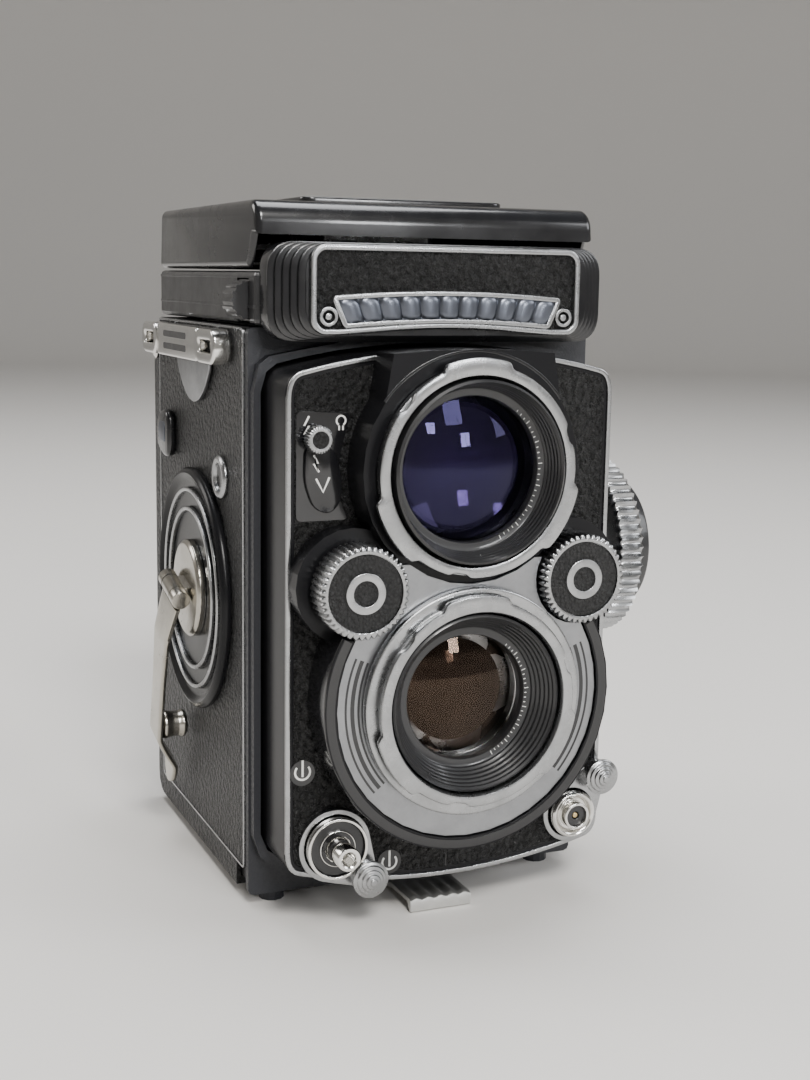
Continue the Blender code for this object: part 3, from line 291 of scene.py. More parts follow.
def bore(obj, *shapes):
    """Cuts closed shapes out of a piece and keeps its flat faces flat."""
    cutters = []
    for shape in shapes:
        mesh = bpy.data.meshes.new("bore")
        mesh.from_pydata(((shape[0] + CORNER) * MM).tolist(), [], shape[1])
        work = bmesh.new()
        work.from_mesh(mesh)
        close(work)
        work.to_mesh(mesh)
        work.free()
        cutter = bpy.data.objects.new("bore", mesh)
        bpy.context.scene.collection.objects.link(cutter)
        cutters.append(cutter)
        modifier = obj.modifiers.new("bore", "BOOLEAN")
        modifier.operation = "DIFFERENCE"
        modifier.solver = "MANIFOLD"
        modifier.object = cutter
    bpy.context.view_layer.update()
    cut = bpy.data.meshes.new_from_object(obj.evaluated_get(bpy.context.evaluated_depsgraph_get()))
    obj.modifiers.clear()
    obj.data = cut
    cut.set_sharp_from_angle(angle=math.radians(20))
    for cutter in cutters:
        bpy.data.objects.remove(cutter)
    return obj


# ---- finishes -----------------------------------------------------------------------------
def finish(name, colour, roughness, metallic=0.0, **sockets):
    """A named material with its shader's plain values set."""
    material = bpy.data.materials.new(name)
    material.use_nodes = True
    shader = material.node_tree.nodes["Principled BSDF"]
    shader.inputs["Base Color"].default_value = (*colour, 1.0)
    shader.inputs["Roughness"].default_value = roughness
    shader.inputs["Metallic"].default_value = metallic
    for key, value in sockets.items():
        shader.inputs[key.replace("_", " ")].default_value = value
    return material


def node(material, kind, **values):
    """A shader node with its sockets or settings filled in."""
    made = material.node_tree.nodes.new(kind)
    for key, value in values.items():
        if key in made.inputs:
            made.inputs[key].default_value = value
        else:
            setattr(made, key, value)
    return made


def link(material, start, end):
    """Joins one node's output to another's input."""
    material.node_tree.links.new(start, end)


def texture(material, kind, scale, **values):
    """A texture node on Object coordinates at a scale of repeats per metre."""
    made = node(material, kind, **values)
    made.inputs["Scale"].default_value = scale
    place = material.node_tree.nodes.get("place") or node(material, "ShaderNodeTexCoord")
    place.name = "place"
    link(material, place.outputs["Object"], made.inputs["Vector"])
    return made


def bumps(material, height, strength, distance):
    """Raises the surface's shading by a height, with its full depth in metres."""
    shader = material.node_tree.nodes["Principled BSDF"]
    bump = node(material, "ShaderNodeBump", Strength=strength, Distance=distance)
    link(material, height, bump.inputs["Height"])
    link(material, bump.outputs["Normal"], shader.inputs["Normal"])


def mix_by(material, factor, low, high, stops=(0.35, 0.65)):
    """A colour ramp from low to high, for the base colour or the roughness."""
    ramp = node(material, "ShaderNodeValToRGB")
    ramp.color_ramp.elements[0].position, ramp.color_ramp.elements[1].position = stops
    ramp.color_ramp.elements[0].color = low if len(low) == 4 else (*low, 1)
    ramp.color_ramp.elements[1].color = high if len(high) == 4 else (*high, 1)
    link(material, factor, ramp.inputs["Fac"])
    return ramp.outputs["Color"]


def grey(value):
    """A colour with three equal parts, for a ramp that drives one value."""
    return (value, value, value, 1)


def leatherette(name, grain, depth, shine):
    """Black pebbled covering. Its height is a fine noise less 1.6 times the distance to the
    nearest cell's middle, its colour darkens toward the creases between the cells as painted
    shade, and its roughness follows the fine noise."""
    material = finish(name, (0.014, 0.014, 0.015), shine, Specular_IOR_Level=0.55)
    shader = material.node_tree.nodes["Principled BSDF"]
    cells = texture(material, "ShaderNodeTexVoronoi", grain, feature="SMOOTH_F1", Smoothness=0.35)
    fine = texture(material, "ShaderNodeTexNoise", grain * 3.1, Detail=4.0, Roughness=0.6)
    height = node(material, "ShaderNodeMath", operation="MULTIPLY_ADD")
    link(material, cells.outputs["Distance"], height.inputs[0])
    height.inputs[1].default_value = -1.6
    link(material, fine.outputs["Fac"], height.inputs[2])
    bumps(material, height.outputs[0], 1.0, depth)
    # painted shade: the colour falls from 0.021 to 0.006 into the creases between the pebbles
    crease_shade = mix_by(material, cells.outputs["Distance"], grey(0.021), grey(0.006), (0.2, 0.7))
    link(material, crease_shade, shader.inputs["Base Color"])
    rub = mix_by(material, fine.outputs["Fac"], grey(shine - 0.1), grey(shine + 0.14))
    link(material, rub, shader.inputs["Roughness"])
    return material


def enamel(name, colour, roughness, ripple=0.00003):
    """Stoved black paint: its height is a fine noise, for orange peel, and its roughness runs
    from 0.75 to 1.5 of the value given by a broad noise, for hand marks."""
    material = finish(name, colour, roughness, Coat_Weight=0.35, Coat_Roughness=0.08)
    shader = material.node_tree.nodes["Principled BSDF"]
    peel = texture(material, "ShaderNodeTexNoise", 900, Detail=2.0)
    marks = texture(material, "ShaderNodeTexNoise", 60, Detail=5.0, Roughness=0.65)
    bumps(material, peel.outputs["Fac"], 0.25, ripple)
    link(material, mix_by(material, marks.outputs["Fac"], grey(roughness * 0.75),
                          grey(roughness * 1.5)), shader.inputs["Roughness"])
    return material


def crinkle(name, colour, grain=1500):
    """Wrinkle-finish paint: its height is a warped noise, and its roughness runs from 0.38 to
    0.62 with the same noise."""
    material = finish(name, colour, 0.5)
    shader = material.node_tree.nodes["Principled BSDF"]
    folds = texture(material, "ShaderNodeTexNoise", grain, Detail=5.0, Roughness=0.55,
                    Distortion=0.8)
    bumps(material, folds.outputs["Fac"], 0.7, 0.00016)
    link(material, mix_by(material, folds.outputs["Fac"], grey(0.38), grey(0.62)),
         shader.inputs["Roughness"])
    return material


def metal(name, colour, roughness, grain=2600, wear=0.05):
    """Plated or anodised metal: its height is a fine noise, for grain. By a cloudy noise its
    colour falls to 1 - 3 wear of itself where its roughness is wear above the value given."""
    material = finish(name, colour, roughness, 1.0)
    shader = material.node_tree.nodes["Principled BSDF"]
    fine = texture(material, "ShaderNodeTexNoise", grain, Detail=3.0)
    cloud = texture(material, "ShaderNodeTexNoise", 140, Detail=6.0, Roughness=0.7)
    bumps(material, fine.outputs["Fac"], 0.18, 0.00002)
    dull = tuple(c * (1 - 3 * wear) for c in colour)
    link(material, mix_by(material, cloud.outputs["Fac"], dull, colour, (0.3, 0.6)),
         shader.inputs["Base Color"])
    link(material, mix_by(material, cloud.outputs["Fac"], grey(roughness + wear),
                          grey(max(0.03, roughness - wear))), shader.inputs["Roughness"])
    return material


leather = leatherette("side_leatherette", 900, 0.0011, 0.4)
leather_coarse = leatherette("board_leatherette", 760, 0.0013, 0.26)
leather_fine = leatherette("dial_leatherette", 1500, 0.0006, 0.45)
gloss = enamel("gloss_black_enamel", (0.0075, 0.0075, 0.0085), 0.2)
lacquer = enamel("black_lacquer", (0.006, 0.006, 0.007), 0.13, 0.00001)
semi = enamel("semi_gloss_black", (0.012, 0.012, 0.013), 0.36)
wrinkle = crinkle("blue_black_wrinkle", (0.014, 0.015, 0.019))
inside = crinkle("flocked_matt_black", (0.008, 0.008, 0.009), 3000)
chrome = metal("bright_chrome", (0.78, 0.77, 0.74), 0.14, 1500, 0.03)
satin = metal("satin_chrome", (0.4, 0.405, 0.41), 0.27, 3400, 0.07)
pearl = metal("pearl_silver", (0.3, 0.305, 0.315), 0.34, 5200, 0.06)
pearl_bright = metal("matt_silver", (0.62, 0.62, 0.6), 0.45, 3000, 0.05)
steel = metal("plain_steel", (0.5, 0.5, 0.51), 0.3, 2200, 0.06)
brass = metal("cut_brass", (0.72, 0.54, 0.27), 0.3, 2000, 0.05)
white = finish("white_filled_mark", (0.8, 0.8, 0.77), 0.5, Specular_IOR_Level=0.3)
black_fill = enamel("black_filled_line", (0.01, 0.01, 0.011), 0.35)


def coated(name, tint, colour, index, level, depth=0.0):
    """Coated glass: a tinted reflection, kept weak by a low index or level, over a colour that
    runs from 0.6 of itself to all of it by a broad noise."""
    material = finish(name, colour, 0.015, IOR=index, Specular_IOR_Level=level,
                      Transmission_Weight=depth)
    shader = material.node_tree.nodes["Principled BSDF"]
    shader.inputs["Specular Tint"].default_value = (*tint, 1)
    drift = texture(material, "ShaderNodeTexNoise", 45, Detail=1.0)
    low = tuple(c * 0.6 for c in colour)
    link(material, mix_by(material, drift.outputs["Fac"], low, colour), shader.inputs["Base Color"])
    return material


violet = coated("violet_coated_glass", (0.5, 0.45, 1.0), (0.92, 0.93, 1.0), 1.33, 0.5, 1.0)
violet_deep = coated("deep_violet_element", (0.5, 0.35, 1.0), (0.0012, 0.0008, 0.004), 1.5, 0.2)
amber = coated("amber_coated_glass", (1.0, 0.72, 0.55), (0.97, 0.95, 0.93), 1.33, 0.5, 1.0)
amber_deep = coated("deep_amber_element", (1.0, 0.6, 0.42), (0.003, 0.0016, 0.0012), 1.5, 0.2)
ground = finish("ground_glass", (0.62, 0.64, 0.63), 0.55, Specular_IOR_Level=0.4)
bumps(ground, texture(ground, "ShaderNodeTexNoise", 6000, Detail=2.0).outputs["Fac"], 0.3,
      0.00002)
cell_glass = metal("moulded_cell_window", (0.13, 0.14, 0.165), 0.33, 1200, 0.04)
nickel = metal("worn_nickel", (0.5, 0.475, 0.42), 0.22, 2200, 0.06)
dish_black = finish("dish_black", (0.007, 0.007, 0.008), 0.27, Specular_IOR_Level=0.2)
bumps(dish_black, texture(dish_black, "ShaderNodeTexNoise", 700, Detail=3.0).outputs["Fac"], 0.2,
      0.00003)
silvered = metal("silvered_mirror", (0.9, 0.91, 0.92), 0.05, 900, 0.01)

# The solids that show as they are; every other one is replaced by a piece below.
SHOWN = {
    inside: ("body_casting",),
    wrinkle: ("front_panel",),
    leather: ("side_cover_left", "side_cover_right", "back_door"),
    semi: ("film_gate", "supply_spool", "takeup_spool", "hood_base", "hood_release_wheel",
           "pressure_plate", "shutter_housing"),
    gloss: ("hood_leaf_left", "hood_leaf_right", "hood_leaf_back"),
    lacquer: ("lens_board",),
    dish_black: ("front_cover",),
    pearl: ("face_plate",),
    satin: ("spool_knob_lower", "spool_knob_upper"),
    chrome: ("film_roller_lower", "film_roller_upper", "door_hinge_pin", "crank_hub"),
    brass: ("crank_gear", "idler_gear", "takeup_gear"),
    steel: ("tripod_bush", "focus_shaft", *(f"shutter_blade_{k}" for k in range(1, 6))),
    silvered: ("reflex_mirror",),
    ground: ("focusing_screen",),
}
for material, names in SHOWN.items():
    for name in names:
        mesh = nodes[name].data
        mesh.materials.clear()
        mesh.materials.append(material)


# ---- the front standard -------------------------------------------------------------------
def board_line(inset=0.0):
    """The board's edge, drawn in by an inset: straight sides 36.5 from the middle, a
    lower arc z = 5.8 + 3.2 (x/29)^2, an upper arc z = 118.1 - 3.1 (x/29)^2 and soft corners."""
    half = 36.5
    low = lambda x: 5.8 + 3.2 * (x / 29) ** 2
    high = lambda x: 118.1 - 3.1 * (x / 29) ** 2
    x = np.linspace(-30, 30, 25)
    right = [(half, low(half)), (half, 20), (half, 100), (half, high(half))]
    left = [(-half, high(half)), (-half, 100), (-half, 20), (-half, low(half))]
    line = np.vstack((np.stack((x, low(x)), -1), right, np.stack((x, high(x)), -1)[::-1], left))
    line = soften(line, 5.0, 6)
    return line - outward(line) * inset


def cover_side():
    """The cover's left edge: a circle round each lens, kept where it is outside the other."""
    upper = arc_line(*VIEWING, VIEWING_COVER, 90, 218, 60)
    lower = arc_line(*TAKING, TAKING_COVER, 128, 270, 70)
    upper = upper[np.hypot(upper[:, 0], upper[:, 1] - TAKING[1]) > TAKING_COVER]
    lower = lower[np.hypot(lower[:, 0], lower[:, 1] - VIEWING[1]) > VIEWING_COVER]
    return np.vstack((upper, lower))


def board_edges():
    """Profiles carried round the board's edge: a black rim turned over the front, and a bright
    bead that leaves a gap where the cover crosses the top."""
    rim = soften([(-0.2, 4.6), (-0.2, -16.45), (-2.2, -16.45), (-2.2, -16.1), (-0.8, -15.6),
                  (-0.8, 4.6)], 0.9, 5)
    piece("board_rim", band(board_line(), rim, "y"), dish_black, "front_standard")
    line = board_line(0.75)
    start = np.argmin(np.hypot(line[:, 0] + 16.6, line[:, 1] - 116.2))
    line = np.roll(line, -start, 0)
    gap = (np.abs(line[:, 0]) < 16.8) & (line[:, 1] > 100)
    bead = soften([(0.5, -16.3), (0.5, -16.95), (-0.5, -16.95), (-0.5, -16.3)], 0.22, 3)
    piece("board_trim", band(line[~gap], bead, "y", closed=False), satin, "front_standard")


def board_covering():
    """Two flat sheets, each bounded by the board's edge drawn in by 2 and by the cover's side."""
    edge = board_line(2.0)
    middle = 0.3
    halves = []
    for sign in (-1, 1):
        part = edge[edge[:, 0] * sign > middle]
        part = part[np.argsort(np.unwrap(np.arctan2(part[:, 1] - 60, part[:, 0] * sign)))]
        inner = cover_side() * np.array((-sign, 1))
        outline = np.vstack((part, [(middle * sign, 116.1)], inner, [(middle * sign, 7.8)]))
        halves.append(slab(outline, -16.62, -16.42, "y", 0.0, 1))
    piece("board_leather", halves, leather_coarse, "front_standard", sharp=1)


def board_plates():
    """Thin lacquered plates let into the covering: one under the selector and two badges."""
    body = "front_standard"
    plate = soften([(-34.2, 84.0), (-34.2, 105.9), (-22.8, 105.3), (-24.2, 100.5), (-25.6, 94.5),
                    (-25.2, 88.5), (-23.2, 84.0)], 1.2)
    piece("selector_plate", slab(plate, -16.66, -16.6, "y", 0.02, 1), lacquer, body)
    badges = []
    for x, z in ((-32.6, 32.2), (-13.2, 10.6)):
        outline = soften(arc_line(x, z, 2.9, 0, 315, 8), 1.0)
        badges.append(slab(outline, -16.66, -16.6, "y", 0.02, 1))
    piece("mark_badges", badges, lacquer, body)


def stroke(line, width, y):
    """A painted line: the line moved half its width to each side and given 0.04 of depth."""
    line = np.array(line, float)
    along = np.gradient(line, axis=0)
    normal = np.stack((along[:, 1], -along[:, 0]), -1)
    normal /= np.maximum(np.linalg.norm(normal, axis=1), 1e-9)[:, None]
    outline = np.vstack((line + normal * width / 2, (line - normal * width / 2)[::-1]))
    return slab(outline, y - 0.03, y + 0.01, "y", 0.0, 1)


def painted_marks():
    """White strokes: a bolt and a lamp beside the selector, an open circle with a bar at each
    lock, and a bolt and an arrowhead on the lever."""
    board, lever = -16.67, -17.6
    marks = [stroke([(-31.6, 104.9), (-32.6, 103.0), (-31.6, 103.0), (-32.6, 101.2)], 0.4, board),
             stroke(arc_line(-24.9, 103.9, 0.95, -60, 240), 0.35, board),
             stroke([(-25.3, 102.9), (-25.3, 102.0)], 0.35, board),
             stroke([(-24.5, 102.9), (-24.5, 102.0)], 0.35, board)]
    for x, z in ((-32.6, 32.4), (-13.2, 10.6)):
        marks += [stroke(arc_line(x, z, 1.6, -220.5, 40.5), 0.42, board),
                  stroke([(x, z - 1.0), (x, z + 2.5)], 0.45, board)]
    piece("board_marks", marks, white, "front_standard")
    bolt = stroke([(-30.9, 97.3), (-30.0, 95.6), (-30.9, 95.6), (-29.8, 93.9)], 0.4, lever)
    arrowhead = stroke([(-30.4, 92.6), (-28.9, 89.9), (-27.6, 92.8)], 0.45, lever)
    piece("lever_marks", [bolt, arrowhead], white, "sync_lever")


def selector_lever():
    """A flat lever with a turned knob; the knob's rim is r - share (1 + cos 28w) / 2."""
    line = soften([(-32.5, 99.2), (-32.7, 92.0), (-30.8, 86.6), (-27.6, 85.2), (-25.0, 87.6),
                   (-24.9, 93.0), (-26.6, 98.8)], 2.2, 6)
    piece("selector_lever", slab(line, -17.6, -16.75, "y", 0.25), lacquer, "sync_lever",
          ("sync_lever",))
    scallops = lambda w: -0.5 - 0.5 * np.cos(28 * w)
    knob = [(0, -17.5, 0), (2.3, -17.5, 0), (2.8, -17.8, .3), (2.85, -18.2, .3), (2.85, -19.9, .3),
            (2.7, -20.3, .2), (2.3, -20.5, 0), (1.75, -20.45, 0), (1.6, -20.2, 0), (0, -20.15, 0)]
    piece("selector_knob", turned(knob, "y", SELECTOR_KNOB, 168, wave=scallops), satin,
          "sync_lever")
    fill = plug(1.68, -20.1, -20.36, 0.1)
    piece("selector_knob_fill", turned(fill, "y", SELECTOR_KNOB, 48), leather_fine, "sync_lever")


def lock_lever(name, node_name, centre, finger, bore_radius):
    """A flat loop, an arc about the socket joined to a smaller arc about the finger button,
    with the socket's hole cut through it and a button turned in four steps."""
    centre, finger = np.array(centre), np.array(finger)
    toward = math.degrees(math.atan2(*(finger - centre)[::-1]))
    collar = arc_line(*centre, bore_radius + 1.25, toward + 62, toward + 298, 60)
    tip = arc_line(*finger, 2.9, toward - 80, toward + 80, 14)
    lever = piece(name, slab(np.vstack((collar, tip)), -17.8, -16.75, "y", 0.2), satin, node_name,
                  (node_name,))
    bore(lever, turned(plug(bore_radius + 0.25, -19, -15), "y", centre, 72))
    steps = soften([(3.1, -16.9), (3.1, -20.1), (3.9, -20.3), (3.9, -21.0), (3.2, -21.2),
                    (3.1, -21.6), (2.4, -21.7), (2.3, -22.1), (1.6, -22.2), (1.5, -22.6),
                    (0.8, -22.7), (0.7, -23.0), (0, -23.0)], 0.16, 3, False)
    piece(name + "_button", turned(np.vstack(((0, -16.9), steps)), "y", finger, 64), satin,
          node_name)


def release_group():
    """Two bright rings with black between them round a tube whose mouth is threaded: the bore is
    r = 1.35 + 0.12 cos(5 pi h / 2), h its depth."""
    body = "front_standard"
    rings = [ring(6.55, 5.9, -16.5, -19.85, 0.2), ring(3.9, 2.62, -16.5, -19.5, 0.2)]
    piece("release_collar", [turned(profile, "y", RELEASE_SOCKET) for profile in rings], chrome,
          body)
    fill = ring(5.95, 3.85, -16.5, -19.1, 0.1)
    piece("release_collar_fill", turned(fill, "y", RELEASE_SOCKET), black_fill, body)
    h = np.linspace(-25.6, -22.2, 18)
    thread = np.stack((1.35 + 0.12 * np.cos((h + 25.6) * 2.5 * np.pi), h), -1)
    tube = np.vstack(([(0, -14.0), (2.5, -14.0), (2.5, -25.9), (2.35, -26.15), (1.75, -26.2),
                       (1.5, -26.0)], thread, [(0, -22.0)]))
    piece("release_tube", turned(tube, "y", RELEASE_SOCKET, 64), chrome, "release_button",
          ("release_button",))
    lock_lever("release_lock", "release_lock_lever", RELEASE_SOCKET, RELEASE_FINGER, 6.6)


def socket_group():
    """The flash socket turned from the outside in: a cup, a sleeve, a core and a pin."""
    body = "front_standard"
    cup = soften([(0, -14.4), (3.0, -14.4), (3.0, -16.7), (5.15, -16.7), (5.2, -19.2),
                  (4.7, -19.8), (4.1, -19.5), (3.7, -18.3), (2.95, -18.2), (2.95, -20.9),
                  (2.35, -20.9), (2.35, -16.6), (0, -16.5)], 0.2, 3, False)
    piece("flash_socket", turned(cup, "y", FLASH_SOCKET, 72), chrome, body,
          ("sync_socket",))
    core = ring(2.3, 0.85, -16.6, -20.2, 0.15)
    piece("flash_socket_core", turned(core, "y", FLASH_SOCKET), semi, body)
    pin = plug(0.6, -16.6, -20.0)
    piece("flash_socket_pin", turned(pin, "y", FLASH_SOCKET, 32), brass, body)
    lock_lever("socket_lock", "socket_lock_lever", FLASH_SOCKET, FLASH_FINGER, 5.35)


def bayonet(name, node_name, centre, front, back, collared):
    """A bright ring whose front slopes in to the glass. Three times round, its outer wall swells
    and dips: radius = r + share (1.25 lug(w) - 0.75 notch(w))."""
    def lugs(w):
        """Both lug and notch are the product of a rising and a falling logistic step."""
        phase = np.mod(np.degrees(w) - 62, 120)
        lug = 1 / (1 + np.exp(-(phase - 11) * 1.6)) / (1 + np.exp((phase - 49) * 1.6))
        notch = 1 / (1 + np.exp(-(phase - 72) * 1.6)) / (1 + np.exp((phase - 82) * 1.6))
        return 1.25 * lug - 0.75 * notch
    profile = [(20.9, back, 0), (20.9, front + 1.5, 0), (21.15, front + 1.4, 1),
               (21.3, front + 1.25, 1), (21.3, front + 0.25, 1), (21.15, front + 0.06, 1),
               (20.9, front, 1), (19.6, front, 0), (19.2, front + 0.1, 0),
               (19.0, front + 0.4, 0), (18.85, front + 1.0, 0), (18.8, back, 0)]
    made = [turned(profile, "y", centre, 240, wave=lugs)]
    if collared:
        made.append(turned(soften([(23.7, back), (23.7, -28.8), (23.4, -29.0), (21.0, -29.0),
                                   (20.5, -28.8), (20.5, back)], 0.25, 3), "y", centre))
    piece(name, made, satin, "front_standard", (node_name,))


def barrel(name, node_name, centre, throat, rear, steps):
    """A black barrel whose front falls to the glass in fine turned steps: with t the depth from
    0 to 1, radius = 17.75 - (16.25 - throat) t^1.1 + 0.24 |saw(steps t)|."""
    y = np.linspace(-30.2, -24.8, steps * 8)
    t = (y + 30.2) / 5.4
    ridge = np.abs(np.mod(t * steps, 1.0) - 0.5) * 2
    funnel = np.stack((17.75 - (16.25 - throat) * t ** 1.1 + 0.24 * ridge, y), -1)[::-1]
    land = [(throat + 0.3, rear), (throat + 0.3, -22.8), (throat, -23.2), (throat + 0.1, -24.4),
            (throat + 0.25, -24.6), (throat + 1.35, -24.6)]
    wall = np.vstack(([(18.4, -30.0), (18.4, rear)], land, funnel, [(17.9, -30.35)]))
    piece(name, turned(wall, "y", centre, 128), semi, "front_standard", (node_name,))


def glass_pair():
    """Each lens: a domed glass, a second element behind it and a scale of fine marks."""
    def dome(radius, front, bulge, rear, hollow):
        """Two faces: y = front - bulge (1 - (r/R)^2) and y = rear + hollow (1 - (r/R)^2)."""
        r = np.linspace(0, radius, 26)
        face = np.stack((r, front - bulge * (1 - (r / radius) ** 2)), -1)
        back = np.stack((r, rear + hollow * (1 - (r / radius) ** 2)), -1)[::-1]
        return np.vstack((face, back))
    body = "front_standard"
    piece("viewing_glass", turned(dome(14.6, -23.0, 3.4, -21.6, -2.2), "y", VIEWING, 128), violet,
          body, ("viewing_lens",))
    piece("viewing_glass_inner", turned(dome(12.8, -18.4, -2.6, -17.9, 2.8), "y", VIEWING, 96),
          violet_deep, body)
    piece("taking_glass", turned(dome(12.9, -21.7, 2.3, -20.6, -1.4), "y", TAKING, 128), amber,
          body, ("taking_lens",))
    piece("taking_glass_inner", turned(dome(10.6, -17.6, 2.6, -16.9, 0.1), "y", TAKING, 96),
          amber_deep, body)
    for name, centre, radius in (("viewing_scale", VIEWING, 15.1), ("taking_scale", TAKING, 13.4)):
        ticks = [tick(centre, radius, -64 + k * 4.2, 0.45 if k % 4 else 0.9, 0.14, -24.67, -24.55,
                      "y") for k in range(28)]
        piece(name, ticks, white, body)


def wheel(name, node_name, centre, body):
    """A wheel whose rim is cut in 44 V grooves: radius = r - 0.62 share |saw(44 w)|^1.6."""
    groove = lambda w: -0.62 * np.abs(np.mod(w * 44 / TURN, 1.0) * 2 - 1) ** 1.6
    rim = [(0, -22.4, 0), (8.6, -22.4, 0), (9.2, -22.7, .6), (9.4, -23.1, 1), (9.4, -28.7, 1),
           (9.25, -29.15, 1), (8.8, -29.4, .8), (8.2, -29.42, .35), (7.85, -29.35, 0),
           (7.8, -28.9, 0), (7.8, -28.6, 0), (0, -28.6, 0)]
    piece(name + "_rim", turned(rim, "y", centre, 352, wave=groove), satin, body,
          (node_name,))
    piece(name + "_covering", turned(plug(7.72, -28.5, -29.15, 0.25), "y", centre, 96),
          leather_fine, body)
    piece(name + "_ring", turned(ring(4.15, 2.55, -29.0, -29.45, 0.15), "y", centre, 72), satin,
          body)


def face_lines():
    """Three black-filled arcs on each side of the silver face."""
    made = []
    for inner, outer in ((26.9, 27.35), (25.3, 26.15), (24.2, 24.65)):
        for start, end in ((157, 220), (-40, 22)):
            profile = [(outer, -26.58), (outer, -26.64), (inner, -26.64), (inner, -26.58)]
            made.append(turned(profile, "y", TAKING, 48, arc=(math.radians(start),
                                                              math.radians(end))))
    piece("face_lines", made, black_fill, "front_standard")


def cover_edges():
    """The cover's edges: a rounded lip turned from wheel to wheel below the taking lens, and a
    bead along an arc over the viewing lens."""
    lip = soften([(31.75, -16.8), (31.75, -27.25), (29.15, -27.25), (29.15, -26.0), (30.2, -25.9),
                  (31.0, -16.8)], 0.7, 5)
    piece("cover_lip", turned(lip, "y", TAKING, 160, arc=(math.radians(-208), math.radians(28))),
          lacquer, "front_standard")
    crown = arc_line(*VIEWING, 23.75, 144, 36, 60)
    crown[:, 1] = np.minimum(crown[:, 1], 118.1)
    bead = soften([(0.35, -25.2), (0.35, -25.75), (-0.35, -25.75), (-0.35, -25.2)], 0.15)
    piece("cover_crown", band(crown, bead, "y", closed=False), lacquer, "front_standard")


board_edges()
board_covering()
board_plates()
painted_marks()
selector_lever()
release_group()
socket_group()
bayonet("viewing_ring", "viewing_bayonet", VIEWING, -29.2, -26.1, False)
bayonet("taking_ring", "taking_bayonet", TAKING, -31.3, -26.9, True)
barrel("viewing_tube", "viewing_barrel", VIEWING, 14.7, -17.0, 6)
barrel("taking_tube", "taking_barrel", TAKING, 13.0, -16.9, 6)
glass_pair()
wheel("aperture_wheel", "aperture_wheel", APERTURE_WHEEL, "aperture_wheel")
wheel("speed_wheel", "shutter_wheel", SPEED_WHEEL, "shutter_wheel")
face_lines()
cover_edges()


# ---- meter and hood -----------------------------------------------------------------------
def meter_ribs():
    """The block in front of the hood. Toward the front its half width falls from 37.4 by 6.6 in
    five eased steps, and a groove (a bell curve 1.0 deep) runs round before each step's edge."""
    count, widest, fall = 5, 37.4, 6.6
    t = np.linspace(0, 1, 121)
    step = np.minimum(np.floor(t * count + 1e-9), count - 1)
    phase = np.clip(t * count - step, 0, 1)
    ease = np.clip((phase - 0.6) / 0.4, 0, 1)
    half = widest - fall * (step + ease * ease * (3 - 2 * ease)) / count
    half = half - np.exp(-((phase - 0.86) / 0.09) ** 2) - 0.875 * np.clip(0.12 - phase, 0, 1)
    half, depth = np.append((widest, widest), half), np.append((-3.0, -6.9), -7.3 - 4.65 * t)
    rows = []
    for width, y in zip(half, depth):
        low, top = 118.9 + 0.22 * (widest - width), 138.7 - 0.05 * (widest - width)
        rows.append(put(*(box_outline((-width, low), (width, top), 4.6).T), y, "y"))
    piece("meter_ribs", skin(np.array(rows), ends=("first", "last")), gloss, "camera_body",
          ("meter_housing",))


def meter_face():
    """A covered field in a bright border whose lower edge is the arch
    z = 121.1 + 1.25 cos(pi x / 48)^1.2, and a bright line round the window in it."""
    body = "camera_body"
    x = np.linspace(-24, 24, 33)
    arch = np.stack((x, 121.1 + 1.25 * np.cos(x / 24 * np.pi / 2) ** 1.2), -1)
    border = np.vstack((arch, arc_line(26.7, 123.7, 2.6, -90, 0, 10),
                        arc_line(26.7, 135.0, 2.6, 0, 90, 10),
                        arc_line(-26.7, 135.0, 2.6, 90, 180, 10),
                        arc_line(-26.7, 123.7, 2.6, 180, 270, 10)))
    field = border - outward(border) * 0.3
    piece("meter_field", slab(field, -12.35, -11.6, "y", 0.1), leather_coarse, body)
    frame = soften([(0.62, -11.8), (0.62, -13.0), (-0.62, -13.0), (-0.62, -11.8)], 0.4, 4)
    piece("meter_border", band(border, frame, "y"), satin, body,
          ("meter_frame",))
    x = np.linspace(-1, 1, 41)
    top = np.stack((x * 25.0, 128.8 - 1.1 * x ** 2), -1)
    low = np.stack((x * 22.6, 123.3 - 1.0 * x ** 2), -1)
    window = soften(np.vstack((low, top[::-1])), 0.5, 2)
    line = soften([(0.55, -12.2), (0.55, -12.95), (-0.5, -12.95), (-0.5, -12.2)], 0.2, 3)
    piece("meter_surround", band(window, line, "y"), satin, body)


def meter_domes():
    """Eleven glass domes in a curved strip. With a across one dome and b up it, both from -1 to
    1, its height is 0.9 sqrt(1 - 0.9 a^2 - 0.8 b^4), or 0 where that has no root."""
    count = 11
    u = np.linspace(0, count, count * 14 + 1)
    v = np.linspace(0, 1, 21)[:, None]
    share = u / count * 2 - 1
    across = np.mod(u, 1.0) * 2 - 1
    bulge = np.sqrt(np.clip(1 - 0.9 * across ** 2 - 0.8 * (v * 2 - 1) ** 4, 0, 1))
    x = share * (22.4 + 2.2 * v)
    z = (123.4 - share ** 2) * (1 - v) + (128.6 - 1.1 * share ** 2) * v
    front = put(x, z, -12.36 - 0.9 * bulge, "y")
    back = front.copy()
    back[..., 1] = -12.0
    piece("meter_domes", skin(np.vstack((front, back[::-1])), True, False, ("left", "right")),
          cell_glass, "camera_body", ("meter_window",))


def meter_sockets():
    """A small turned ring with a pin in it at each lower corner of the meter."""
    for x, name in ((-26.2, "meter_socket_left"), (26.2, "meter_socket_right")):
        piece(name, [turned(ring(1.95, 1.25, -12.2, -12.95, 0.15), "y", (x, 124.1), 48),
                     turned(plug(0.7, -12.2, -12.8), "y", (x, 124.1), 32)], satin,
              "camera_body")


